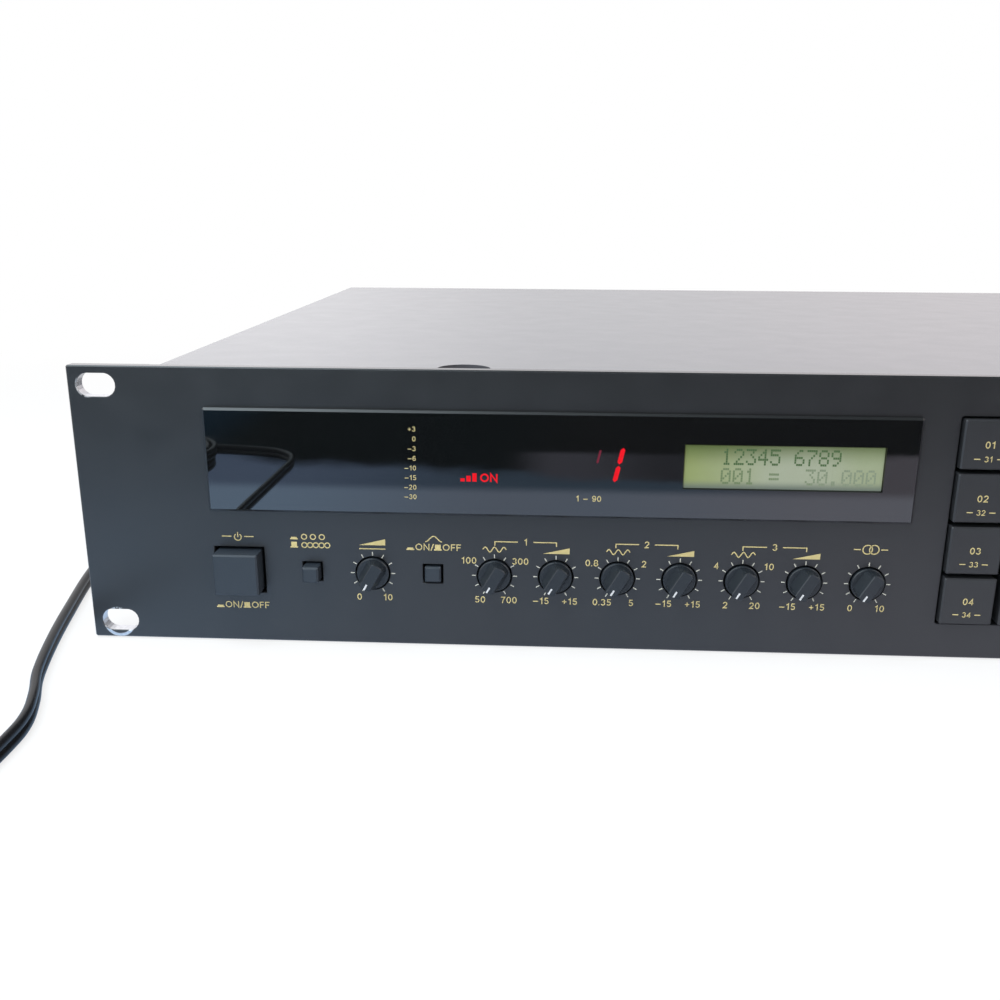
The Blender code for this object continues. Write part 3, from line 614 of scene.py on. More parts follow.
@dataclass(frozen=True)
class Face:
    """A flat face of the unit with its own axes in the plane, seen from outside."""

    origin: Vector
    right: Vector
    up: Vector

    def matrix(self, x: float = 0.0, y: float = 0.0, lift: float = 0.0) -> Matrix:
        """The placement of a piece on this face.

        Args:
            x: The distance along the face's right axis.
            y: The distance along its up axis.
            lift: The distance out of the face.

        Returns:
            A matrix that turns a piece drawn in XY, with Z outwards, onto the face.
        """
        out = self.right.cross(self.up)
        placed = Matrix((self.right, self.up, out)).transposed().to_4x4()
        placed.translation = self.origin + self.right * x + self.up * y + out * lift
        return placed


class Side(Enum):
    """A side of the unit, with its right and up axes as seen from outside."""

    FRONT = ((1, 0, 0), (0, 0, 1))
    REAR = ((-1, 0, 0), (0, 0, 1))
    LEFT = ((0, -1, 0), (0, 0, 1))
    RIGHT = ((0, 1, 0), (0, 0, 1))
    UNDER = ((1, 0, 0), (0, -1, 0))

    def face(self, x: float = 0.0, y: float = 0.0, z: float = 0.0) -> Face:
        """The face on this side through a point."""
        right, up = self.value
        return Face(Vector((x, y, z)), Vector(right), Vector(up))


def middle_of(name: str) -> Vector:
    """The middle of a node's box."""
    low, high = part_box(name)
    return (low + high) / 2


def rounded(half_x: float, half_y: float, radius: float, steps: int) -> list[Point]:
    """A rectangle with round corners, about the origin.

    Args:
        half_x: Half its width.
        half_y: Half its height.
        radius: Its corners' radius.
        steps: The points in each corner.

    Returns:
        Its points, counter-clockwise.
    """
    points = []
    reach = radius * cos(pi / 4 / steps)
    for quarter, (side_x, side_y) in enumerate(((1, 1), (-1, 1), (-1, -1), (1, -1))):
        for step in range(steps):
            angle = (quarter + (step + 0.5) / steps) * pi / 2
            x = side_x * (half_x - reach) + radius * cos(angle)
            points.append((x, side_y * (half_y - reach) + radius * sin(angle)))
    return points


def circle(radius: float, sides: int = 24) -> list[Point]:
    """A circle's points, about the origin."""
    return rounded(radius, radius, radius, sides // 4)


def arc(centre: Point, half: Point, begin: float = 0.0, end: float = 360.0) -> list[Point]:
    """Points along an arc of an ellipse.

    Args:
        centre: The ellipse's middle.
        half: Half its width and half its height.
        begin: The angle in degrees at which it starts.
        end: The angle at which it ends. A whole ellipse doesn't repeat its first point.

    Returns:
        The points.
    """
    steps = max(4, round(abs(end - begin) / 24))
    count = steps if abs(end - begin) == 360 else steps + 1
    angles = [radians(begin + (end - begin) * i / steps) for i in range(count)]
    return [(centre[0] + half[0] * cos(a), centre[1] + half[1] * sin(a)) for a in angles]


def turned(points: Sequence[Point]) -> list[Point]:
    """A figure's stroke turned upside down."""
    return [(FIGURE_WIDTH - x, 1.0 - y) for x, y in points]


@dataclass(frozen=True)
class Glyph:
    """One sign of cap height 1: its width, its open strokes and its closed ones."""

    width: float
    open: tuple[Sequence[Point], ...] = ()
    closed: tuple[Sequence[Point], ...] = ()


def draw_glyphs() -> dict[str, Glyph]:
    """Draws the figures and the few other signs in use.

    Returns:
        The glyphs by sign.
    """
    wide = FIGURE_WIDTH
    hook = arc((0.29, 0.49), (0.225, 0.445), 42, 186)
    bowl = arc((0.28, 0.32), (0.215, 0.255))
    low_bowl = (0.215, 0.225)
    two = [*arc((0.28, 0.69), (0.205, 0.245), 172, -35), (0.085, 0.067), (0.52, 0.067)]
    three = arc((0.27, 0.72), (0.19, 0.212), 160, -90), arc((0.27, 0.29), low_bowl, 90, -165)
    five = [(0.49, 0.93), (0.14, 0.93), (0.10, 0.50)], arc((0.27, 0.32), (0.215, 0.255), 140, -155)
    plus = [(0.03, 0.44), (0.53, 0.44)], [(0.28, 0.51), (0.28, 0.76)], [(0.28, 0.12), (0.28, 0.37)]
    return {
        "0": Glyph(wide, closed=(arc((0.28, 0.5), (0.215, 0.435)),)),
        "1": Glyph(0.44, ([(0.07, 0.74), (0.19, 0.79), (0.30, 0.93), (0.30, 0.0)],)),
        "2": Glyph(wide, (two,)),
        "3": Glyph(wide, three),
        "4": Glyph(wide, ([(0.40, 0.0), (0.40, 0.90), (0.07, 0.30), (0.54, 0.30)],)),
        "5": Glyph(wide, five),
        "6": Glyph(wide, (hook,), (bowl,)),
        "7": Glyph(wide, ([(0.04, 0.93), (0.50, 0.93), (0.31, 0.55), (0.21, 0.0)],)),
        "8": Glyph(wide, closed=(arc((0.28, 0.725), (0.18, 0.21)), arc((0.28, 0.29), low_bowl))),
        "9": Glyph(wide, (turned(hook),), (turned(bowl),)),
        "+": Glyph(wide, plus),
        "-": Glyph(0.66, ([(0.03, 0.40), (0.63, 0.40)],)),
        ".": Glyph(0.16, ([(0.08, 0.0), (0.08, 0.14)],)),
        "/": Glyph(0.36, ([(0.03, -0.05), (0.33, 1.0)],)),
        "O": Glyph(0.83, closed=(arc((0.415, 0.5), (0.35, 0.435)),)),
        "N": Glyph(0.73, ([(0.08, 0.0), (0.08, 0.97), (0.65, 0.03), (0.65, 1.0)],)),
        "F": Glyph(0.54, ([(0.08, 0.0), (0.08, 0.933), (0.54, 0.933)], [(0.136, 0.49), (0.48, 0.49)])),
        " ": Glyph(0.30),
    }


@dataclass(frozen=True)
class Lettering:
    """A plain upright sans of even strokes. Its measures are shares of the cap height."""

    stroke: float = 0.14
    gap: float = 0.145
    stretch: float = 1.25
    glyphs: dict[str, Glyph] = field(default_factory=draw_glyphs)

    def width(self, text: str) -> float:
        """A text's width for a cap height of 1."""
        return sum(self.glyphs[sign].width for sign in text) * self.stretch + self.gap * (len(text) - 1)


def bridge(bm: bmesh.types.BMesh, first: Sequence, second: Sequence) -> None:
    """Joins two rings of as many points with a band of faces."""
    for i in range(len(first)):
        bm.faces.new((first[i - 1], first[i], second[i], second[i - 1]))


class MarkSheet:
    """Marks on one face, gathered in one mesh: letters, lines and patches as thin as ink."""

    ink: float = 0.00003
    sink: float = 0.00001
    sharpest: float = 0.4

    def __init__(self, lettering: Lettering = Lettering()) -> None:
        """Starts an empty sheet."""
        self.lettering = lettering
        self.bm = bmesh.new()

    def layers(self, points: Sequence[Point]) -> list[list]:
        """Sets points in the face, and again on the ink's surface."""
        return [[self.bm.verts.new((*point, z)) for point in points] for z in (-self.sink, self.ink)]

    def patch(self, outline: Iterable[Point]) -> None:
        """A filled patch.

        Args:
            outline: The points round it.
        """
        low, high = self.layers(list(outline))
        self.bm.faces.new(high)
        self.bm.faces.new(low[::-1])
        bridge(self.bm, low, high)

    def bar(self, left: float, bottom: float, right: float, top: float) -> None:
        """A filled rectangle."""
        self.patch(((left, bottom), (right, bottom), (right, top), (left, top)))

    def line(self, points: Sequence[Point], width: float, closed: bool = False) -> None:
        """A line of even width.

        Args:
            points: The points that it goes through.
            width: Its width.
            closed: Whether its ends meet.
        """
        path = [Vector(point) for point in points]
        count = len(path)
        left, right = [], []
        for i, here in enumerate(path):
            before = path[i - 1] if i or closed else 2 * here - path[1]
            after = path[(i + 1) % count] if i < count - 1 or closed else 2 * here - before
            into = (here - before).normalized()
            along = (into + (after - here).normalized()).normalized()
            across = Vector((-along.y, along.x)) * (width / 2 / max(self.sharpest, along.dot(into)))
            left.append(tuple(here + across))
            right.append(tuple(here - across))
        if not closed:
            self.patch([*right, *reversed(left)])
            return
        left_low, left_high = self.layers(left)
        right_low, right_high = self.layers(right)
        around = (right_high, left_high, left_low, right_low, right_high)
        for first, second in zip(around, around[1:]):
            bridge(self.bm, first, second)

    def ring(self, x: float, y: float, radius: float, width: float) -> None:
        """A circle's line."""
        self.line([(x + px, y + py) for px, py in circle(radius, 20)], width, True)

    def text(self, text: str, x: float, y: float, height: float, align: Align = Align.CENTRE) -> None:
        """A text on one line.

        Args:
            text: What it says.
            x: Its anchor along the line.
            y: Its baseline.
            height: The height of its capitals and figures.
            align: Where the anchor lies along its width.
        """
        left = x - self.lettering.width(text) * align.value * height
        stroke = self.lettering.stroke * height
        wide = self.lettering.stretch * height
        for sign in text:
            glyph = self.lettering.glyphs[sign]
            for strokes, closed in ((glyph.open, False), (glyph.closed, True)):
                for points in strokes:
                    self.line([(left + px * wide, y + py * height) for px, py in points], stroke, closed)
            left += glyph.width * wide + self.lettering.gap * height

    def piece(self, name: str, place: Matrix, ink: bpy.types.Material, body: str = UNIT) -> None:
        """Makes the sheet's mesh and lays it on its face, where it moves with a body."""
        bmesh.ops.recalc_face_normals(self.bm, faces=self.bm.faces)
        add_piece(name, self.bm, ink, body, place, smooth_deg=0.0)


class Loft:
    """A closed mesh of rings along a piece's own Z, from the back to the front."""

    def __init__(
        self,
        sections: Sequence[Section],
        pocket: Section | None = None,
        hole: Sequence[Section] = (),
    ) -> None:
        """Builds the walls and the end faces.

        Args:
            sections: Outlines, each with its place along Z.
            pocket: An outline and a depth, sunk in the front face.
            hole: Outlines with their places, for a hole right through.
        """
        self.bm = bmesh.new()
        rings = self.walls(sections)
        inner = self.walls(hole) if hole else [None]
        self.fill(rings[0], inner[0])
        rim = inner[-1]
        if pocket:
            outline, depth = pocket
            top = sections[-1][1]
            rim, floor = self.walls(((outline, top), (outline, top - depth)))
            self.bm.faces.new(floor)
        self.fill(rings[-1], rim)
        bmesh.ops.recalc_face_normals(self.bm, faces=self.bm.faces)

    def walls(self, sections: Sequence[Section]) -> list[list]:
        """Bridges the rings of some sections.

        Args:
            sections: Outlines, each with its place along Z.

        Returns:
            The rings.
        """
        rings = [[self.bm.verts.new((*point, z)) for point in outline] for outline, z in sections]
        for lower, upper in zip(rings, rings[1:]):
            bridge(self.bm, lower, upper)
        return rings

    def fill(self, rim: list, inner: list | None) -> None:
        """Fills a rim.

        Args:
            rim: The outer ring.
            inner: A ring inside it that stays open, if there is one.
        """
        if inner is None:
            self.bm.faces.new(rim)
            return
        edges = []
        for ring in (rim, inner):
            for ends in zip([ring[-1], *ring], ring):
                edges.append(self.bm.edges.get(ends) or self.bm.edges.new(ends))
        bmesh.ops.triangle_fill(self.bm, edges=edges, use_beauty=True)


def link_mesh(name: str, bm: bmesh.types.BMesh, material: bpy.types.Material) -> bpy.types.Object:
    """Links a mesh to the scene.

    Args:
        name: The object's name.
        bm: Its mesh, which is freed.
        material: Its finish.

    Returns:
        The object.
    """
    mesh = bpy.data.meshes.new(name)
    bm.to_mesh(mesh)
    bm.free()
    mesh.materials.append(material)
    made = bpy.data.objects.new(name, mesh)
    bpy.context.scene.collection.objects.link(made)
    return made


def add_piece(
    name: str,
    bm: bmesh.types.BMesh,
    material: bpy.types.Material,
    body: str,
    place: Matrix | None = None,
    smooth_deg: float = 35.0,
) -> bpy.types.Object:
    """Adds a piece that moves with a body.

    Args:
        name: The piece's name.
        bm: Its mesh, which is freed.
        material: Its finish.
        body: The body that it moves with.
        place: Where it goes. Its points are moved there.
        smooth_deg: The angle above which an edge is sharp.

    Returns:
        The piece.
    """
    if place is not None:
        bm.transform(place)
    piece = link_mesh(name, bm, material)
    if smooth_deg:
        piece.data.shade_smooth()
        piece.data.set_sharp_from_angle(angle=radians(smooth_deg))
    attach(piece, body)
    log.info("%s rides on %s with %d faces", name, body, len(piece.data.polygons))
    return piece


@dataclass(frozen=True)
class Dial:
    """A knob: its step along the row, and the figures at its scale's ends and sides."""

    name: str
    step: int
    ends: tuple[str, str]
    sides: tuple[str, str] = ("", "")


@dataclass(frozen=True)
class FrontFace:
    """The front panel's place, as read from its node, with the places of its knobs."""

    left: float
    front: float
    bottom: float
    knob_row: float = 0.0238
    knob_pitch: float = 0.01905
    first_knob: float = 0.0912
    dials: tuple[Dial, ...] = (
        Dial("input_level_knob", 0, ("0", "10")),
        Dial("lo_freq_knob", 2, ("50", "700"), ("100", "300")),
        Dial("lo_level_knob", 3, ("-15", "+15")),
        Dial("mid_freq_knob", 4, ("0.35", "5"), ("0.8", "2")),
        Dial("mid_level_knob", 5, ("-15", "+15")),
        Dial("hi_freq_knob", 6, ("2", "20"), ("4", "10")),
        Dial("hi_level_knob", 7, ("-15", "+15")),
        Dial("mixing_knob", 8, ("0", "10")),
    )

    @classmethod
    def of_node(cls) -> "FrontFace":
        """Reads the panel's place from the frame."""
        low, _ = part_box("front_panel")
        return cls(*low)

    def corner(self) -> Vector:
        """The panel's lower left corner."""
        return Vector((self.left, self.front, self.bottom))

    def face(self) -> Face:
        """The face, measured from the panel's left end and lower edge."""
        return Side.FRONT.face(*self.corner())

    def point(self, x: float, depth: float, up: float) -> Vector:
        """The world point at a distance from the left end and the front face, and above the surface."""
        return Vector((self.left + x, self.front + depth, up))

    def dial_x(self, dial: Dial) -> float:
        """A knob's centre along the panel."""
        return self.first_knob + dial.step * self.knob_pitch


@dataclass
class PanelPrint:
    """The printing on the panel: gold marks, and cream ticks round the knobs.

    Pairs are places on the panel, or two sizes of one sign.
    """

    front: FrontFace
    gold: bpy.types.Material
    cream: bpy.types.Material
    marks: MarkSheet = field(default_factory=MarkSheet)
    ticks: MarkSheet = field(default_factory=MarkSheet)
    height: float = 0.00212
    stroke: float = 0.00032
    tick: Point = (0.0058, 0.0070)
    tick_width: float = 0.00030
    tick_count: int = 11
    sweep_deg: float = 150.0
    scale_end: Point = (0.0045, -0.0080)
    scale_side: Point = (0.0080, 0.0049)
    sign_base: float = 0.0314
    sign_row: float = 0.0349
    wave: Point = (0.0072, 0.0008)
    wave_rise: float = 0.0010
    wave_turns: float = 2.5
    wedge_half: float = 0.0041
    band_wedge: float = 0.0019
    input_wedge: Point = (0.0330, 0.0350)
    input_line: float = 0.0318
    mix_ring: Point = (0.0010, 0.0014)
    mix_dash: Point = (0.0031, 0.0051)
    bracket: Point = (0.0337, 0.0350)
    bracket_gap: float = 0.0024
    bands: tuple[Point, ...] = ((0.1294, 0.1484), (0.1666, 0.1855), (0.2052, 0.2244))
    power: Point = (0.0490, 0.0348)
    power_half: Point = (0.0011, 0.0011)
    power_stem: float = 0.0364
    power_row: float = 0.0350
    power_dash: Point = (0.0020, 0.0050)
    on_off_spots: tuple[Point, ...] = ((0.0492, 0.0111), (0.1104, 0.0317))
    on_off_steps: tuple[float, ...] = (-0.0085, -0.0057, 0.0001, 0.0028)
    curve: Point = (0.1104, 0.0345)
    curve_size: Point = (0.0052, 0.0018)
    mode_in: Point = (0.0655, 0.0344)
    mode_out: Point = (0.0655, 0.0317)
    mode_rings: tuple[tuple[int, float, float], ...] = ((3, 0.0028, 0.0353), (5, 0.0018, 0.0326))
    mode_left: float = 0.0699
    mode_radius: float = 0.0008
    push_width: float = 0.0024
    push_inset: float = 0.0003
    push_rows: tuple[float, float, float] = (0.0004, 0.0008, 0.0019)

    def build(self) -> None:
        """Draws all the marks and lays both sheets on the panel."""
        for dial in self.front.dials:
            self.scale(dial)
            self.sign_over(dial)
        self.brackets()
        self.switches()
        face = self.front.face().matrix()
        self.marks.piece("panel_gold_marks", face, self.gold)
        self.ticks.piece("panel_knob_ticks", face, self.cream)

    def line(self, points: Sequence[Point]) -> None:
        """A gold line."""
        self.marks.line(points, self.stroke)

    def scale(self, dial: Dial) -> None:
        """One knob's ticks and figures.

        Args:
            dial: The knob.
        """
        x, y = self.front.dial_x(dial), self.front.knob_row
        for step in range(self.tick_count):
            angle = radians(self.sweep_deg * (2 * step / (self.tick_count - 1) - 1))
            self.ticks.line([(x + r * sin(angle), y + r * cos(angle)) for r in self.tick], self.tick_width)
        for figures, (reach, up) in ((dial.ends, self.scale_end), (dial.sides, self.scale_side)):
            for figure, side in zip(figures, (-1, 1)):
                self.marks.text(figure, x + side * reach, y + up - self.height / 2, self.height)

    def sign_over(self, dial: Dial) -> None:
        """A plain sign over a knob: a wave for a frequency, a wedge for a level, two rings for a mix.

        Args:
            dial: The knob.
        """
        x = self.front.dial_x(dial)
        if dial.name.endswith("freq_knob"):
            long, high = self.wave
            base, turn = self.sign_base + self.wave_rise, tau * self.wave_turns
            self.line([(x + (t - 0.5) * long, base + high * sin(t * turn)) for t in np.linspace(0, 1, 37)])
        elif dial.name == "mixing_knob":
            offset, radius = self.mix_ring
            for side in (-1, 1):
                self.marks.ring(x + side * offset, self.sign_row, radius, self.stroke)
            self.dashes(x, self.sign_row, self.mix_dash)
        elif dial.name == "input_level_knob":
            self.wedge(x, *self.input_wedge)
            self.line([(x + half, self.input_line) for half in (-self.wedge_half, self.wedge_half)])
        else:
            self.wedge(x, self.sign_base, self.sign_base + self.band_wedge)

    def wedge(self, x: float, base: float, top: float) -> None:
        """A wedge that rises to the right, about a middle."""
        left, right = x - self.wedge_half, x + self.wedge_half
        self.marks.patch(((left, base), (right, base), (right, top)))

    def dashes(self, x: float, y: float, reach: Point) -> None:
        """A dash on each side of a middle, from one distance to another."""
        for side in (-1, 1):
            self.line([(x + side * r, y) for r in reach])

    def brackets(self) -> None:
        """The brackets that join each pair of band controls, with the band's number between their halves."""
        foot, top = self.bracket
        for number, (first, last) in enumerate(self.bands, 1):
            middle = (first + last) / 2
            self.line(((first, foot), (first, top), (middle - self.bracket_gap, top)))
            self.line(((middle + self.bracket_gap, top), (last, top), (last, foot)))
            self.marks.text(str(number), middle, top - self.height / 2, self.height)

    def switches(self) -> None:
        """The signs by the push buttons: power, one or two channels, a filter curve, on and off."""
        x, _ = self.power
        self.line(arc(self.power, self.power_half, 125, 415))
        self.line((self.power, (x, self.power_stem)))
        self.dashes(x, self.power_row, self.power_dash)
        for spot in self.on_off_spots:
            self.on_off(*spot)
        x, base = self.curve
        long, high = self.curve_size
        self.line([(x + (t - 0.5) * long, base + high * sin(t * pi) ** 2) for t in np.linspace(0, 1, 21)])
        self.push_sign(*self.mode_in, False)
        self.push_sign(*self.mode_out, True)
        for count, pitch, y in self.mode_rings:
            for step in range(count):
                self.marks.ring(self.mode_left + pitch * step, y, self.mode_radius, self.stroke)

    def push_sign(self, x: float, y: float, out: bool) -> None:
        """The sign for a button that is in, or out.

        Args:
            x: Its left end.
            y: Its base.
            out: Whether the button is out.
        """
        base, low, high = self.push_rows
        right = x + self.push_width
        self.marks.bar(x, y, right, y + base)
        self.marks.bar(x + self.push_inset, y + base, right - self.push_inset, y + (high if out else low))

    def on_off(self, middle: float, base: float) -> None:
        """The words on and off with their push signs.

        Args:
            middle: Their middle along the panel.
            base: Their baseline.
        """
        in_x, on_x, out_x, off_x = (middle + step for step in self.on_off_steps)
        self.push_sign(in_x, base, False)
        self.marks.text("ON/", on_x, base, self.height, Align.LEFT)
        self.push_sign(out_x, base, True)
        self.marks.text("OFF", off_x, base, self.height, Align.LEFT)


@dataclass
class Knobs:
    """The white pointer lines let into the knobs' grip bars."""

    front: FrontFace
    white: bpy.types.Material
    proud: float = 0.0051
    reach: Point = (0.0024, 0.0044)
    width: float = 0.00055
    rest_deg: float = -150.0

    def build(self) -> None:
        """Makes one pointer for each knob, at the low end of its scale."""
        turn = radians(self.rest_deg)
        for dial in self.front.dials:
            sheet = MarkSheet()
            sheet.line([(r * sin(turn), r * cos(turn)) for r in self.reach], self.width)
            place = self.front.face().matrix(self.front.dial_x(dial), self.front.knob_row, self.proud)
            sheet.piece(f"{dial.name}_pointer", place, self.white, dial.name)


@dataclass
class KeyPrint:
    """The marks on the keys: a number over a second one between dashes, or an arrow or a figure."""

    front: FrontFace
    gold: bpy.types.Material
    proud: float = 0.0018
    rows: int = 4
    columns: int = 4
    height: float = 0.0021
    small: float = 0.0017
    upper_drop: float = 0.0010
    lower_drop: float = 0.0051
    second_from: int = 30
    dash: Point = (0.0024, 0.0042)
    dash_rise: Point = (0.0007, 0.0010)
    arrows: tuple[Point, ...] = ((0, 1), (1, 0), (0, -1), (-1, 0))
    arrow_tip: float = 0.0022
    arrow_wing: float = 0.0018
    edit_keys: int = 8

    def build(self) -> None:
        """Marks every key of both blocks."""
        low, high = (rise - self.lower_drop for rise in self.dash_rise)
        near, far = self.dash
        for row, column in product(range(self.rows), range(self.columns)):
            number = 1 + row + column * self.rows
            sheet = MarkSheet()
            sheet.text(f"{number:02d}", 0.0, -self.upper_drop, self.height)
            sheet.text(str(self.second_from + number), 0.0, -self.lower_drop, self.small)
            sheet.bar(-far, low, -near, high)
            sheet.bar(near, low, far, high)
            self.lay(sheet, f"program_key_{1 + row * self.columns + column}")
        for number in range(1, self.edit_keys + 1):
            sheet = MarkSheet()
            self.sign(sheet, number)
            self.lay(sheet, f"edit_key_{number}")

    def sign(self, sheet: MarkSheet, number: int) -> None:
        """A plain sign for a wide key: arrows on the first keys and figures on the others.

        Args:
            sheet: The key's sheet.
            number: The key's number.
        """
        count = len(self.arrows)
        if number > count:
            sheet.text(str(number - count), 0.0, -self.height / 2, self.height)
            return
        x, y = self.arrows[number - 1]
        tip = Vector((x, y)) * self.arrow_tip
        wing = Vector((-y, x)) * self.arrow_wing
        sheet.patch(tuple(point) for point in (tip, wing - tip, -wing - tip))

    def lay(self, sheet: MarkSheet, node: str) -> None:
        """Lays a key's marks on its front face.

        Args:
            sheet: The key's sheet.
            node: The key's node.
        """
        on_panel = middle_of(node) - self.front.corner()
        place = self.front.face().matrix(on_panel.x, on_panel.z, self.proud)
        sheet.piece(f"{node}_marks", place, self.gold, node)


@dataclass
class Display:
    """What shows in the window: level figures, a lit sign, a red figure and the crystal display's text."""

    front: FrontFace
    gold: bpy.types.Material
    red: bpy.types.Material
    ember: bpy.types.Material
    window_proud: float = 0.0016
    glass_proud: float = 0.0010
    level_x: float = 0.1056
    level_top: float = 0.0704
    level_pitch: float = 0.0030
    level_height: float = 0.0015
    levels: tuple[str, ...] = ("+3", "0", "-3", "-6", "-10", "-15", "-20", "-30")
    range_spot: Point = (0.1577, 0.0489)
    range_height: float = 0.0018
    segment_foot: float = 0.1646
    segment_rows: tuple[Point, ...] = ((0.0551, 0.0602), (0.0606, 0.0657))
    segment_width: float = 0.0014
    ghost_foot: float = 0.1584
    ghost_row: Point = (0.0608, 0.0650)
    ghost_width: float = 0.00065
    lean: float = 0.22
    lit_base: float = 0.0545
    lit_steps: tuple[float, ...] = (0.00098, 0.00179, 0.00260)
    lit_left: float = 0.1190
    lit_pitch: float = 0.0018
    lit_width: float = 0.0013
    lit_word_x: float = 0.1276
    lit_height: float = 0.0025
    lit_stroke: float = 0.20
    rows: tuple[tuple[str, float], ...] = (("12345 6789", 0.0659), ("001 =  30.000", 0.0600))
    row_split: float = 0.0604
    faded: Point = (0.200, 0.236)
    text_left: float = 0.1968
    pitch: float = 0.00355
    dot: Point = (0.00060, 0.000714)
    dot_fill: Point = (0.88, 0.90)
    dot_rows: dict[str, str] = field(default_factory=lambda: {
        "0": "0E11131519110E", "1": "040C040404040E", "2": "0E11010204081F", "3": "1F02040201110E",
        "4": "02060A121F0202", "5": "1F101E0101110E", "6": "0608101E11110E", "7": "1F010204080808",
        "8": "0E11110E11110E", "9": "0E11110F01020C", ".": "00000000000C0C", "=": "00001F001F0000",
    })

    def build(self) -> None:
        """Makes all of the window's marks and lit elements."""
        face = self.front.face()
        window = face.matrix(lift=self.window_proud)
        gold = MarkSheet()
        for step, figure in enumerate(self.levels):
            y = self.level_top - step * self.level_pitch - self.level_height / 2
            gold.text(figure, self.level_x, y, self.level_height, Align.RIGHT)
        gold.text("1 - 90", *self.range_spot, self.range_height)
        gold.piece("window_gold_marks", window, self.gold)

        red = MarkSheet(Lettering(self.lit_stroke))
        for row in self.segment_rows:
            self.segment(red, self.segment_foot, row, self.segment_width)
        for number, high in enumerate(self.lit_steps):
            x = self.lit_left + number * self.lit_pitch
            red.bar(x, self.lit_base, x + self.lit_width, self.lit_base + high)
        red.text("ON", self.lit_word_x, self.lit_base, self.lit_height)
        red.piece("window_lit_signs", window, self.red)

        ember = MarkSheet()
        self.segment(ember, self.ghost_foot, self.ghost_row, self.ghost_width)
        ember.piece("window_ghost_segment", window, self.ember)
        self.crystal_text(face.matrix(lift=self.glass_proud))

    def segment(self, sheet: MarkSheet, foot: float, row: Point, width: float) -> None:
        """One leaning segment with pointed ends.

        Args:
            sheet: The sheet.
            foot: Where the figure's left side starts, at the lower end of its lowest segment.
            row: The segment's lower and upper end.
            width: Its width.
        """
        start = self.segment_rows[0][0]
        bottom, top = row
        half = width / 2
        places = [(0.0, bottom), (half, bottom + half), (half, top - half)]
        places += [(0.0, top), (-half, top - half), (-half, bottom + half)]
        sheet.patch((foot + half + dx + (y - start) * self.lean, y) for dx, y in places)

    def crystal_text(self, place: Matrix) -> None:
        """The crystal display's dot characters. A sign's seven rows have two hexadecimal digits each.

        Args:
            place: Where the display's face is.
        """
        sheet = MarkSheet()
        step_x, step_y = self.dot
        wide, high = step_x * self.dot_fill[0], step_y * self.dot_fill[1]
        for text, top in self.rows:
            for number, sign in enumerate(text):
                left = self.text_left + number * self.pitch
                for row, bits in enumerate(bytes.fromhex(self.dot_rows.get(sign, "")), 1):
                    for column in range(5):
                        if bits >> (4 - column) & 1:
                            x, y = left + column * step_x, top - row * step_y
                            sheet.bar(x, y, x + wide, y + high)
        left, right = (self.front.left + x for x in self.faded)
        split = self.front.bottom + self.row_split
        ink = CrystalInk("crystal_ink", (0.045, 0.088, 0.030), 0.5, row=split, left=left, right=right)
        sheet.piece("lcd_characters", place, ink.dress())


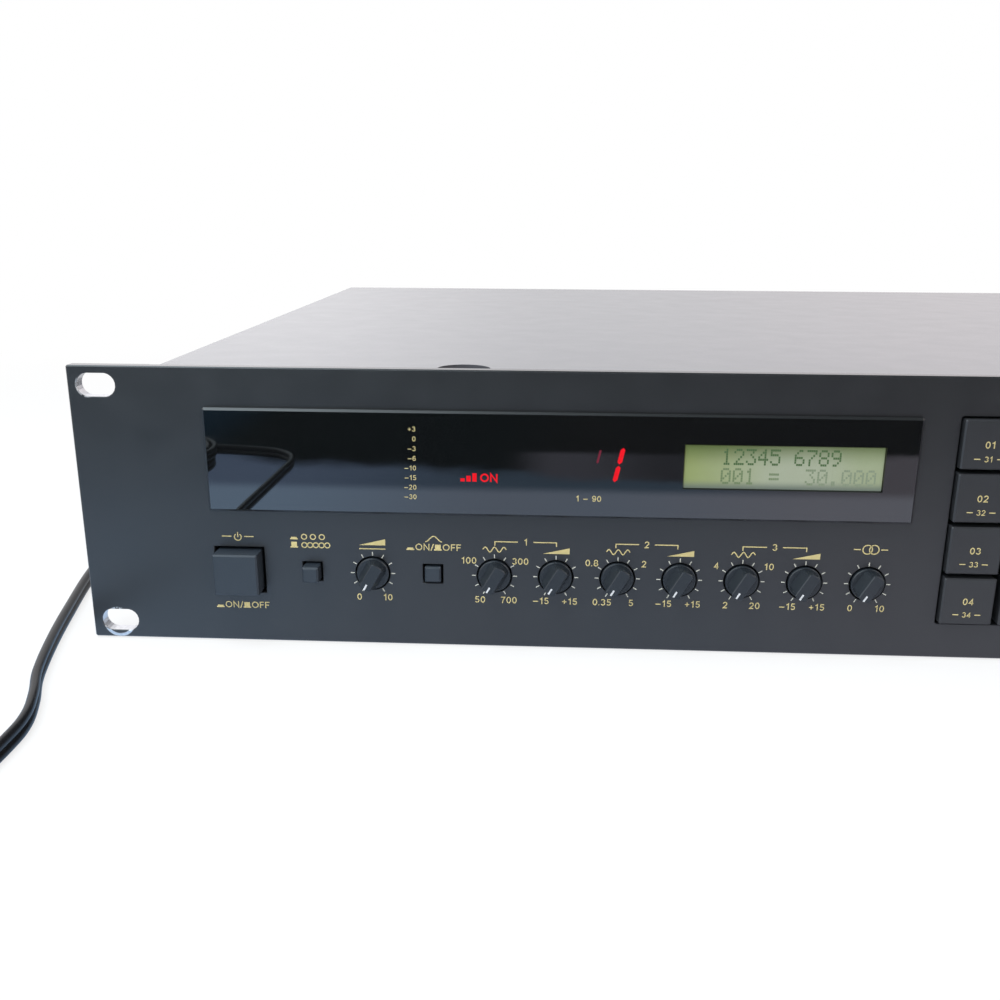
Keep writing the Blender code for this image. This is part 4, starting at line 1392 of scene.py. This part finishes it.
@dataclass
class Screws:
    """Cross-recessed screws that hold the case, the rear panel and the sockets."""

    steel: bpy.types.Material
    radius: float = 0.0029
    height: float = 0.0017
    sunk: float = 0.00005
    wall: float = 0.30
    dome: tuple[float, ...] = (0.35, 0.65)
    dome_rise: float = 0.8
    dome_narrows: Point = (0.75, 2.2)
    crown: float = 1.25
    cross: Point = (0.00085, 0.00042)
    recess: float = 0.0011
    cover_shares: tuple[float, ...] = (0.10, 0.50, 0.92)
    rear_inset: Point = (0.008, 0.007)
    flange: float = 0.0009
    flange_reach: Point = (0.0098, 0.0123)
    flange_scale: float = 0.72
    floor_half: Point = (0.12, 0.09)

    def build(self) -> None:
        """Sets the screws on the sides, the back and the underside."""
        low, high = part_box("top_cover")
        middle_z = (low.z + high.z) / 2
        for number, share in enumerate(self.cover_shares, 1):
            y = low.y + share * (high.y - low.y)
            self.set_screw(f"cover_screw_left_{number}", Side.LEFT.face(x=low.x), -y, middle_z)
            self.set_screw(f"cover_screw_right_{number}", Side.RIGHT.face(x=high.x), y, middle_z)
        low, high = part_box("rear_panel")
        in_x, in_z = self.rear_inset
        spots = product((low.x + in_x, 0.0, high.x - in_x), (low.z + in_z, high.z - in_z))
        for number, (x, z) in enumerate(spots, 1):
            self.set_screw(f"rear_screw_{number}", Side.REAR.face(y=high.y), -x, z)
        reach_x, reach_z = self.flange_reach
        for name in SOCKETS:
            middle = middle_of(name)
            face = Side.REAR.face(y=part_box(name)[1].y - self.flange)
            for hand, side in (("upper", 1), ("lower", -1)):
                x, z = middle.x + side * reach_x, middle.z + side * reach_z
                self.set_screw(f"{name}_screw_{hand}", face, -x, z, self.flange_scale)
        under = Side.UNDER.face(z=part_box("bottom_chassis")[0].z)
        spots = product(*((-half, half) for half in self.floor_half))
        for number, (x, y) in enumerate(spots, 1):
            self.set_screw(f"floor_screw_{number}", under, x, -y)

    def set_screw(self, name: str, face: Face, x: float, y: float, scale: float = 1.0) -> None:
        """Sets one screw on a face.

        Args:
            name: The piece's name.
            face: The face that it sits on.
            x: Its place along the face's right axis.
            y: Its place along the face's up axis.
            scale: Its size against the case screws.
        """
        rim, top = self.radius * scale, self.height * scale
        long, wide = (half * scale for half in self.cross)
        narrows, power = self.dome_narrows
        sections = [(circle(rim), -self.sunk), (circle(rim), self.wall * top)]
        for share in self.dome:
            up = self.wall + (1 - self.wall) * share ** self.dome_rise
            sections.append((circle(rim * (1 - narrows * share ** power)), top * up))
        sections.append((circle(long * self.crown), top))
        arm = [(wide, wide), (wide, long), (-wide, long), (-wide, wide), (-long, wide), (-long, -wide)]
        outline = arm + [(-px, -py) for px, py in arm]
        loft = Loft(sections, (outline, self.recess * scale))
        add_piece(name, loft.bm, self.steel, UNIT, face.matrix(x, y), smooth_deg=30.0)


@dataclass
class RearPrint:
    """Plain figures over the rear sockets."""

    cream: bpy.types.Material
    height: float = 0.0030
    rise: float = 0.0195
    block_rise: float = 0.0025
    block_half: float = 0.011

    def build(self) -> None:
        """Numbers the sockets of each kind."""
        sheet = MarkSheet()
        for name, figure in zip(SOCKETS, "1212"):
            middle = middle_of(name)
            sheet.text(figure, -middle.x, middle.z + self.rise, self.height)
        middle = middle_of("midi_socket_block")
        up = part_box("midi_socket_block")[1].z + self.block_rise
        for figure, side in (("1", -1), ("2", 1)):
            sheet.text(figure, -middle.x + side * self.block_half, up, self.height)
        rear = Side.REAR.face(y=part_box("rear_panel")[1].y)
        sheet.piece("rear_marks", rear.matrix(), self.cream)


@dataclass
class Lead:
    """The twin mains lead: it leaves the rear, lies on its edge round the left side and ends in a tied coil.

    Its path is given from the panel's left end, back from the panel's face and up from the table.
    """

    front: FrontFace
    vinyl: bpy.types.Material
    webbing: bpy.types.Material
    width: float = 0.0056
    thick: float = 0.0028
    spacing: float = 0.0020
    lobe_points: int = 13
    waist_deg: float = 158.0
    coil_radius: float = 0.0360
    coil_pitch: float = 0.0036
    coil_turns: float = 5.25
    coil_layer: float = 0.0062
    coil_lift: float = 0.0013
    coil_entry: Point = (-0.0585, -0.2475)
    loop_points: int = 48
    tail: float = 0.0550
    tail_points: int = 7
    plug_height: float = 0.0065
    twist: Point = (0.0480, -0.0150)
    case_depth: float = 0.3110
    strap_thick: float = 0.0007
    strap_round: float = 0.0016
    strap_edge: float = 0.0002
    drop: tuple[Place, ...] = (
        (0.0520, 0.3352, 0.0200), (0.0520, 0.3460, 0.0197), (0.0482, 0.3600, 0.0174),
        (0.0375, 0.3700, 0.0134), (0.0220, 0.3735, 0.0090), (0.0060, 0.3730, 0.0056),
        (-0.0090, 0.3690, 0.0037), (-0.0200, 0.3590, 0.0030),
    )
    flat_height: float = 0.00295
    flat: tuple[Point, ...] = (
        (-0.0250, 0.3430), (-0.0285, 0.3050), (-0.0320, 0.2500), (-0.0335, 0.1950), (-0.0330, 0.1450),
        (-0.0297, 0.0950), (-0.0232, 0.0500), (-0.0154, 0.0148), (-0.0089, -0.0110), (-0.0022, -0.0332),
        (0.0039, -0.0478), (0.0080, -0.0605), (0.0091, -0.0740), (0.0087, -0.1050), (0.0085, -0.1400),
        (0.0088, -0.1750), (0.0090, -0.2050), (0.0090, -0.2215), (0.0055, -0.2345),
    )
    entry: tuple[Place, ...] = (
        (-0.0040, -0.2440, 0.0030), (-0.0170, -0.2475, 0.0032), (-0.0320, -0.2475, 0.0038),
        (-0.0460, -0.2475, 0.0041), (-0.0582, -0.2475, 0.0041),
    )

    def build(self) -> None:
        route = [*self.drop, *((*spot, self.flat_height) for spot in self.flat), *self.entry]
        free = smooth_points(route, self.spacing)
        coil = smooth_points(self.coil_points(), self.spacing)
        path = np.vstack((free, coil))
        begin, end = self.twist
        tilts = [
            pi / 2 * ease((begin - x) / (begin - end)) if depth > self.case_depth else pi / 2
            for x, depth, _ in path
        ]
        points = [self.front.point(*place) for place in path]
        lead = self.sweep(points, tilts)
        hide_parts("power_cord", "cord_coil")
        strap = self.strap()

    def coil_points(self) -> list[Place]:
        """The coil's path: in along the lower layer, up where it reverses, and out along the upper layer.

        Returns:
            Its points, with the tail to the plug.
        """
        lower = self.coil_lift + self.width / 2
        entry_x, entry_y = self.coil_entry
        centre_x, centre_y = entry_x - self.width, entry_y + self.coil_radius
        points = [(entry_x, entry_y, lower)]
        for i in range(round(self.coil_turns * self.loop_points) + 1):
            turn = i / self.loop_points
            from_middle = turn - self.coil_turns / 2
            radius = self.coil_radius - self.coil_pitch * (self.coil_turns / 2 - abs(from_middle))
            rise = self.coil_layer * ease(from_middle * 2 + 0.5)
            angle = -tau * (turn + 0.25)
            points.append((centre_x + radius * cos(angle), centre_y + radius * sin(angle), lower + rise))
        end_x, end_y, end_z = points[-1]
        for i in range(1, self.tail_points + 1):
            along = i / self.tail_points
            sunk = (end_z - self.plug_height) * ease((along - 0.2) / 0.6)
            points.append((end_x, end_y + along * self.tail, end_z - sunk))
        return points

    def section(self) -> list[Point]:
        """The lead's section: two strands side by side with a groove between them.

        Returns:
            Its points.
        """
        radius = self.thick / 2
        reach = radians(self.waist_deg)
        outline = []
        for turn, step in product((0.0, pi), range(self.lobe_points)):
            angle = turn - reach + 2 * reach * step / (self.lobe_points - 1)
            outline.append((cos(turn) * radius + radius * cos(angle), radius * sin(angle)))
        return outline

    def sweep(self, points: Sequence[Vector], tilts: Sequence[float]) -> bpy.types.Object:
        """Carries the section along the path.

        Args:
            points: The path, in the world.
            tilts: How far the section is turned on edge at each point.

        Returns:
            The lead.
        """
        bm = bmesh.new()
        outline = self.section()
        rings = []
        last = len(points) - 1
        for i, (here, tilt) in enumerate(zip(points, tilts)):
            along = (points[min(i + 1, last)] - points[max(i - 1, 0)]).normalized()
            side = along.cross(Vector((0, 0, 1))).normalized()
            up = side.cross(along)
            wide = side * cos(tilt) + up * sin(tilt)
            flat = up * cos(tilt) - side * sin(tilt)
            rings.append([bm.verts.new(here + wide * x + flat * y) for x, y in outline])
        for lower, upper in zip(rings, rings[1:]):
            bridge(bm, lower, upper)
        bm.faces.new(rings[0])
        bm.faces.new(rings[-1])
        bmesh.ops.recalc_face_normals(bm, faces=bm.faces)
        return add_piece("mains_lead", bm, self.vinyl, UNIT, smooth_deg=60.0)

    def strap(self) -> bpy.types.Object:
        """The woven strap round the coil's turns, in place of the plain tie.

        Returns:
            The strap.
        """
        low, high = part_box("coil_tie")
        half, half_y, half_z = (high - low) / 2
        outer, eased, inner = (
            rounded(half_y - by, half_z - by, self.strap_round - by, 5)
            for by in (0.0, self.strap_edge, self.strap_thick)
        )
        edge = half - self.strap_edge
        band = [(eased, -half), (outer, -edge), (outer, edge), (eased, half)]
        loft = Loft(band, hole=[(inner, -half), (inner, half)])
        place = Side.RIGHT.face(*middle_of("coil_tie")).matrix()
        strap = add_piece("coil_strap", loft.bm, self.webbing, UNIT, place)
        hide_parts("coil_tie")
        return strap


def ease(t: float) -> float:
    """Rises smoothly from 0 to 1."""
    t = min(max(t, 0.0), 1.0)
    return t * t * (3 - 2 * t)


def smooth_points(route: Sequence[Sequence[float]], spacing: float) -> np.ndarray:
    """Points at an even spacing along a smooth curve.

    Args:
        route: The points that the curve goes through.
        spacing: The distance between the new points.

    Returns:
        The new points, ends included.
    """
    given = np.array(route)
    padded = np.vstack((2 * given[0] - given[1], given, 2 * given[-1] - given[-2]))
    fine = []
    for a, b, c, d in zip(padded, padded[1:], padded[2:], padded[3:]):
        for t in np.linspace(0.0, 1.0, 24, endpoint=False):
            bend = (2 * a - 5 * b + 4 * c - d) * t ** 2 + (3 * b - a - 3 * c + d) * t ** 3
            fine.append(b + ((c - a) * t + bend) / 2)
    dense = np.array([*fine, given[-1]])
    along = np.concatenate(([0.0], np.cumsum(np.linalg.norm(np.diff(dense, axis=0), axis=1))))
    stops = np.linspace(0.0, along[-1], round(along[-1] / spacing) + 1)
    return np.stack([np.interp(stops, along, dense[:, axis]) for axis in range(3)], axis=1)


@dataclass
class Case:
    """The finishes of the CAD nodes."""

    front: FrontFace
    blade_length: float = 0.0174
    lcd_inset: float = 0.0080
    lcd_rows: Point = (0.0533, 0.0670)
    pin_circle: float = 0.0042
    pins_deg: tuple[float, ...] = (30, 150, 270)

    def build(self) -> None:
        """Dresses every node that stays in view."""
        for finish, marks in self.finishes().items():
            material = finish.dress()
            for name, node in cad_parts.items():
                if any(mark in name for mark in marks):
                    node.data.materials.clear()
                    node.data.materials.append(material)
                    log.info("%s wears %s", name, finish.name)

    def finishes(self) -> dict[Finish, tuple[str, ...]]:
        """Chooses the finishes.

        Returns:
            For each finish, the words in the names of the nodes that wear it.
        """
        fine = {"grain_size": 0.0003, "relief": 0.000008}
        satin = fine | {"specular": 0.7}
        case = Finish(
            "case_paint", (0.105, 0.102, 0.112), 0.34, grain_size=0.0006, relief=0.000006,
            coat=0.8, coat_roughness=0.20,
        )
        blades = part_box("power_plug")[1].y - self.blade_length
        return {
            self.panel(): ("front_panel",),
            self.window(): ("display_window",),
            self.crystal(): ("lcd_module",),
            case: ("top_cover", "bottom_chassis", "rear_panel", "front_rail"),
            Finish("knob_black", (0.018, 0.023, 0.029), 0.40, **satin): ("_knob",),
            ButtonCap("button_black", (0.028, 0.036, 0.047), 0.42, **satin): ("_button",),
            Finish("key_grey", (0.029, 0.030, 0.033), 0.42, **satin): ("_key_",),
            Finish("moulded_black", (0.024, 0.028, 0.035), 0.42, **fine): ("midi_socket_block",),
            Finish("foot_rubber", (0.018, 0.018, 0.018), 0.80, grain_size=0.0006, relief=0.00003): ("foot_",),
            Finish("bushing_vinyl", (0.020, 0.020, 0.023), 0.38): ("cord_bushing",),
            PlugVinyl("plug_vinyl", (0.020, 0.020, 0.023), 0.40, face=blades): ("power_plug",),
            Laminate("board_laminate", (0.020, 0.085, 0.036), 0.45): ("_board",),
            Finish("core_steel", (0.10, 0.095, 0.09), 0.50, metallic=0.6): ("power_transformer",),
        } | {self.socket(name): (name,) for name in SOCKETS}

    def panel(self) -> PanelPaint:
        """The panel's paint, about the panel's own corner."""
        return PanelPaint(
            "panel_paint", (0.020, 0.0205, 0.022), 0.36, mottle=0.18, specular=1.0, grain_size=0.00035,
            relief=0.000012, left=self.front.left, bottom=self.front.bottom, front=self.front.front,
        )

    def window(self) -> Acrylic:
        """The window's acrylic, with the bevel along the window's own edges."""
        low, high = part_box("display_window")
        return Acrylic(
            "smoked_acrylic", (0.0055, 0.0060, 0.0064), 0.02, specular=1.0, ior=1.75,
            low=(low.x, low.z), high=(high.x, high.z),
        )

    def crystal(self) -> CrystalGlass:
        """The crystal display's glass, shaded over the part that shows.

        Returns:
            The finish.
        """
        low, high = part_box("lcd_module")
        bottom, top = (self.front.bottom + row for row in self.lcd_rows)
        return CrystalGlass(
            "lcd_glass", (0.190, 0.222, 0.088), 0.45, specular=0.2, face=low.y,
            low=(low.x + self.lcd_inset, bottom), high=(high.x - self.lcd_inset, top),
        )

    def socket(self, name: str) -> SocketMetal:
        """The finish of one socket, about its own middle.

        Args:
            name: The socket's node.

        Returns:
            The finish.
        """
        middle = middle_of(name)
        reach = self.pin_circle
        angles = [radians(angle) for angle in self.pins_deg]
        pins = tuple((middle.x - reach * cos(a), middle.z + reach * sin(a)) for a in angles)
        return SocketMetal(
            f"{name}_plating", (0.60, 0.60, 0.62), 0.30, metallic=1.0, mottle=0.05,
            centre=(middle.x, middle.z), contacts=pins,
        )


@dataclass(frozen=True)
class Lamp:
    """A rectangular lamp, which gloss sees where it is mirrored."""

    name: str
    place: Place
    aim: Place
    size: Point
    power: float
    colour: Colour
    mirrored: bool = True

    def build(self) -> None:
        """Hangs the lamp and aims it."""
        data = bpy.data.lights.new(self.name, "AREA")
        data.shape = "RECTANGLE"
        data.size, data.size_y = self.size
        data.energy = self.power
        data.color = self.colour
        lamp = bpy.data.objects.new(self.name, data)
        lamp.location = self.place
        lamp.rotation_euler = (Vector(self.aim) - Vector(self.place)).to_track_quat("-Z", "Y").to_euler()
        lamp.visible_glossy = self.mirrored
        bpy.context.scene.collection.objects.link(lamp)


@dataclass
class Studio:
    """The pale floor, the soft light and the photograph's camera.

    Gloss sees a table that ends in front of the panel, a room past it and a wall behind. Their colours
    change along the panel: a first colour, then where each step starts and ends and the colour after it.
    Dips and steps are a drop or a shift, with where it starts and ends. Spans are where a mask does.
    """

    front: FrontFace
    eye: Place = (0.14544, -0.29543, 0.13452)
    yaw_deg: float = -2.816
    pitch_deg: float = 16.2325
    roll_deg: float = -0.294
    lens: float = 36.40
    floor_half: float = 3.0
    floor_drop: float = 0.00003
    floor_colour: Colour = (0.86, 0.86, 0.86)
    white_share: float = 0.78
    shadow_centre: float = 0.01
    shadow_half: Point = (0.24, 0.17)
    shadow_fade: Point = (0.03, 0.45)
    ambient: float = 0.62
    ambient_front: float = 0.30
    ambient_span: Point = (-0.60, 0.40)
    dim: float = 0.08
    wall: Bands = ((0.99, 0.978, 1.0), (0.0, 0.40, (1.0, 0.955, 0.975)))
    wall_light: float = 1.15
    wall_span: Point = (-0.55, 0.30)
    wall_top: Point = (0.55, 0.90)
    wall_dips: tuple[Place, ...] = ((0.31, -0.30, 0.02), (-0.06, 0.10, 0.45))
    sky: Colour = (0.78, 0.92, 1.0)
    sky_span: Point = (0.55, 0.80)
    skylight: float = 2.4
    skylight_left: Point = (-0.42, 0.0)
    skylight_up: Point = (0.60, 0.85)
    table_end: Point = (0.179, 0.199)
    room_start: Point = (0.246, 0.272)
    room_steps: tuple[Place, ...] = ((0.024, -0.04, 0.012), (0.022, 0.05, 0.15), (-0.062, 0.20, 0.36))
    lump_size: float = 0.045
    lump: float = 0.05
    near: Bands = ((0.50, 0.71, 1.0), (0.0, 0.13, (0.44, 0.53, 0.69)), (0.16, 0.28, (0.545, 0.56, 0.665)))
    far: Bands = ((0.26, 0.365, 0.57), (-0.02, 0.14, (0.13, 0.20, 0.29)), (0.20, 0.32, (0.31, 0.29, 0.34)))
    room: Bands = (
        (0.015, 0.045, 0.080),
        (-0.08, -0.03, (0.008, 0.013, 0.015)),
        (0.10, 0.18, (0.017, 0.016, 0.017)),
    )
    under_unit: Colour = (0.70, 0.71, 0.73)
    under_end: Point = (-0.06, 0.0)
    wedge: Colour = (0.17, 0.17, 0.21)
    wedge_from: Point = (0.12, 0.15)
    wedge_fades: Point = (0.16, 0.21)
    wedge_loss: float = 0.55
    wedge_end: Point = (0.262, 0.276)
    past_table: Colour = (0.36, 0.40, 0.45)
    dark_room: Colour = (0.03, 0.03, 0.035)
    lamps: tuple[Lamp, ...] = (
        Lamp(
            "left_softbox", (-0.32, -0.28, 0.80), (-0.05, -0.12, 0.0), (0.62, 0.45), 7.0, (0.85, 0.94, 1.0),
            mirrored=False,
        ),
        Lamp("front_fill", (-0.75, -1.15, 0.55), (-0.1, -0.15, 0.04), (1.2, 0.8), 6.2, (0.78, 0.92, 1.0)),
        Lamp("right_fill", (0.90, -0.70, 0.55), (0.10, -0.15, 0.04), (0.7, 0.7), 3.2, (1.0, 0.95, 0.95)),
    )

    def build(self) -> None:
        """Sets up the light, the floor and the camera."""
        bpy.context.scene.view_settings.view_transform = "Standard"
        self.world()
        self.floor()
        for lamp in self.lamps:
            lamp.build()
        self.camera()

    def camera(self) -> None:
        """Sets the camera where the photograph was taken from."""
        yaw, pitch, roll = radians(self.yaw_deg), radians(self.pitch_deg), radians(self.roll_deg)
        ahead = Vector((sin(yaw) * cos(pitch), cos(yaw) * cos(pitch), -sin(pitch)))
        right = Vector((cos(yaw), -sin(yaw), 0.0))
        down = ahead.cross(right)
        rolled = right * cos(roll) + down * sin(roll)
        below = down * cos(roll) - right * sin(roll)
        data = bpy.data.cameras.new("photo_camera")
        data.sensor_width = 36.0
        data.lens = self.lens
        data.clip_start = 0.01
        camera = bpy.data.objects.new("photo_camera", data)
        placed = Matrix((rolled, -below, -ahead)).transposed().to_4x4()
        placed.translation = self.front.corner() + Vector(self.eye)
        camera.matrix_world = placed
        bpy.context.scene.collection.objects.link(camera)
        bpy.context.scene.camera = camera

    def world(self) -> None:
        """A white surround for the camera, and a softer light, dim in front, for gloss and fill."""
        world = bpy.data.worlds.new("surround")
        bpy.context.scene.world = world
        world.use_nodes = True
        graph = Graph(world.node_tree)
        x, y, z = graph.split(graph.node("ShaderNodeTexCoord", {}, {}, "Generated"))
        seen = graph.node("ShaderNodeLightPath", {}, {}, "Is Camera Ray")
        glossy = seen.beside("Is Glossy Ray")
        behind = (y + 0.35 * z - 0.35 * x).rise(*self.wall_span) * z.fall(*self.wall_top)
        bright = self.wall_light
        for dip, low, high in self.wall_dips:
            bright = bright - dip * x.rise(low, high)
        skylight = x.fall(*self.skylight_left) * z.rise(*self.skylight_up)
        reflected = self.dim + bright * behind + self.skylight * skylight
        fill = (y + 0.8 * z - 0.25 * x).rise(*self.ambient_span).blend(self.ambient_front, 1.0) * self.ambient
        mirrored = graph.mix(z.rise(*self.sky_span), graph.bands(x, *self.wall), self.sky)
        sockets = world.node_tree.nodes["Background"].inputs
        graph.feed(sockets["Strength"], seen.blend(glossy.blend(fill, reflected), 1.0))
        graph.feed(sockets["Color"], graph.mix(glossy, WHITE, mirrored))

    def floor(self) -> None:
        """A white table top that keeps a soft shadow. Light and gloss see it end in front of the panel."""
        half = self.floor_half
        bm = bmesh.new()
        corners = ((-half, -half), (half, -half), (half, half), (-half, half))
        bm.faces.new([bm.verts.new((*corner, -self.floor_drop)) for corner in corners])
        material = bpy.data.materials.new("table_white")
        material.use_nodes = True
        graph = Graph(material.node_tree)
        seen = graph.node("ShaderNodeLightPath", {}, {}, "Is Camera Ray")
        glossy = seen.beside("Is Glossy Ray")
        direct = (seen + seen.beside("Is Transmission Ray")).least(1.0)
        place = graph.place()
        x, y, _ = graph.split(place)
        across, ahead = x - self.front.left, self.front.front - y

        slanted = ahead + self.lump * (graph.noise(place, self.lump_size, 3.0) - 0.5)
        for step, low, high in self.room_steps:
            slanted = slanted + step * across.rise(low, high)
        past_edge, in_room = ahead.rise(*self.table_end), slanted.rise(*self.room_start)
        near = graph.mix(ahead.rise(*self.under_end), self.under_unit, graph.bands(across, *self.near))
        wedge = across.rise(*self.wedge_from) * ahead.fall(*self.wedge_end)
        wedge = wedge * (1.0 - self.wedge_loss * across.rise(*self.wedge_fades))
        room = graph.mix(wedge, graph.bands(across, *self.room), self.wedge)
        shine = graph.mix(past_edge, near, graph.bands(across, *self.far))
        shine = graph.mix(in_room, shine, room)
        white = graph.node("ShaderNodeEmission", {}, {"Color": graph.mix(glossy, WHITE, shine)})

        table = graph.mix(past_edge * (1.0 - direct), self.floor_colour, self.past_table)
        table = graph.mix(in_room * (1.0 - direct), table, self.dark_room)
        matte = graph.node("ShaderNodeBsdfDiffuse", {}, {"Color": table})
        off_x = x.beyond(0.0, self.shadow_half[0])
        off_y = y.beyond(self.shadow_centre, self.shadow_half[1])
        lit = off_x.hypot(off_y).rise(*self.shadow_fade).blend(self.white_share, 1.0)
        share = (direct * lit + glossy).least(1.0)
        mixed = graph.node("ShaderNodeMixShader", {}, {0: share, 1: matte, 2: white})
        graph.feed(material.node_tree.nodes["Material Output"].inputs["Surface"], mixed)
        link_mesh("table_top", bm, material)


def main() -> None:
    """Builds the set, dresses the nodes and adds every piece."""
    logging.basicConfig(level=logging.INFO, format="%(message)s")
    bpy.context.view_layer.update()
    front = FrontFace.of_node()
    Studio(front).build()
    Case(front).build()
    gold = Finish("gold_ink", (0.66, 0.535, 0.24), 0.55, mottle=0.10, mottle_size=0.003).dress()
    cream = Finish("cream_ink", (0.62, 0.60, 0.52), 0.60, mottle=0.10, mottle_size=0.003).dress()
    white = Finish("pointer_white", (0.70, 0.70, 0.72), 0.45, mottle=0.05).dress()
    red = Glow("red_light", (0.86, 0.012, 0.022), 0.9, specular=0.0).dress()
    ember = Glow("red_ghost", (0.160, 0.022, 0.042), 0.9, specular=0.0).dress()
    steel = Finish("screw_steel", (0.07, 0.07, 0.075), 0.32, metallic=0.8, mottle=0.05).dress()
    vinyl = Finish(
        "cord_vinyl", (0.009, 0.009, 0.010), 0.34, mottle=0.2, specular=0.25, relief=0.000008,
    ).dress()
    webbing = Finish("strap_webbing", (0.03, 0.03, 0.03), 0.85, grain_size=0.0008, relief=0.0001).dress()
    PanelPrint(front, gold, cream).build()
    Knobs(front, white).build()
    KeyPrint(front, gold).build()
    Display(front, gold, red, ember).build()
    Screws(steel).build()
    RearPrint(cream).build()
    Lead(front, vinyl, webbing).build()


if __name__ == "__main__":
    main()
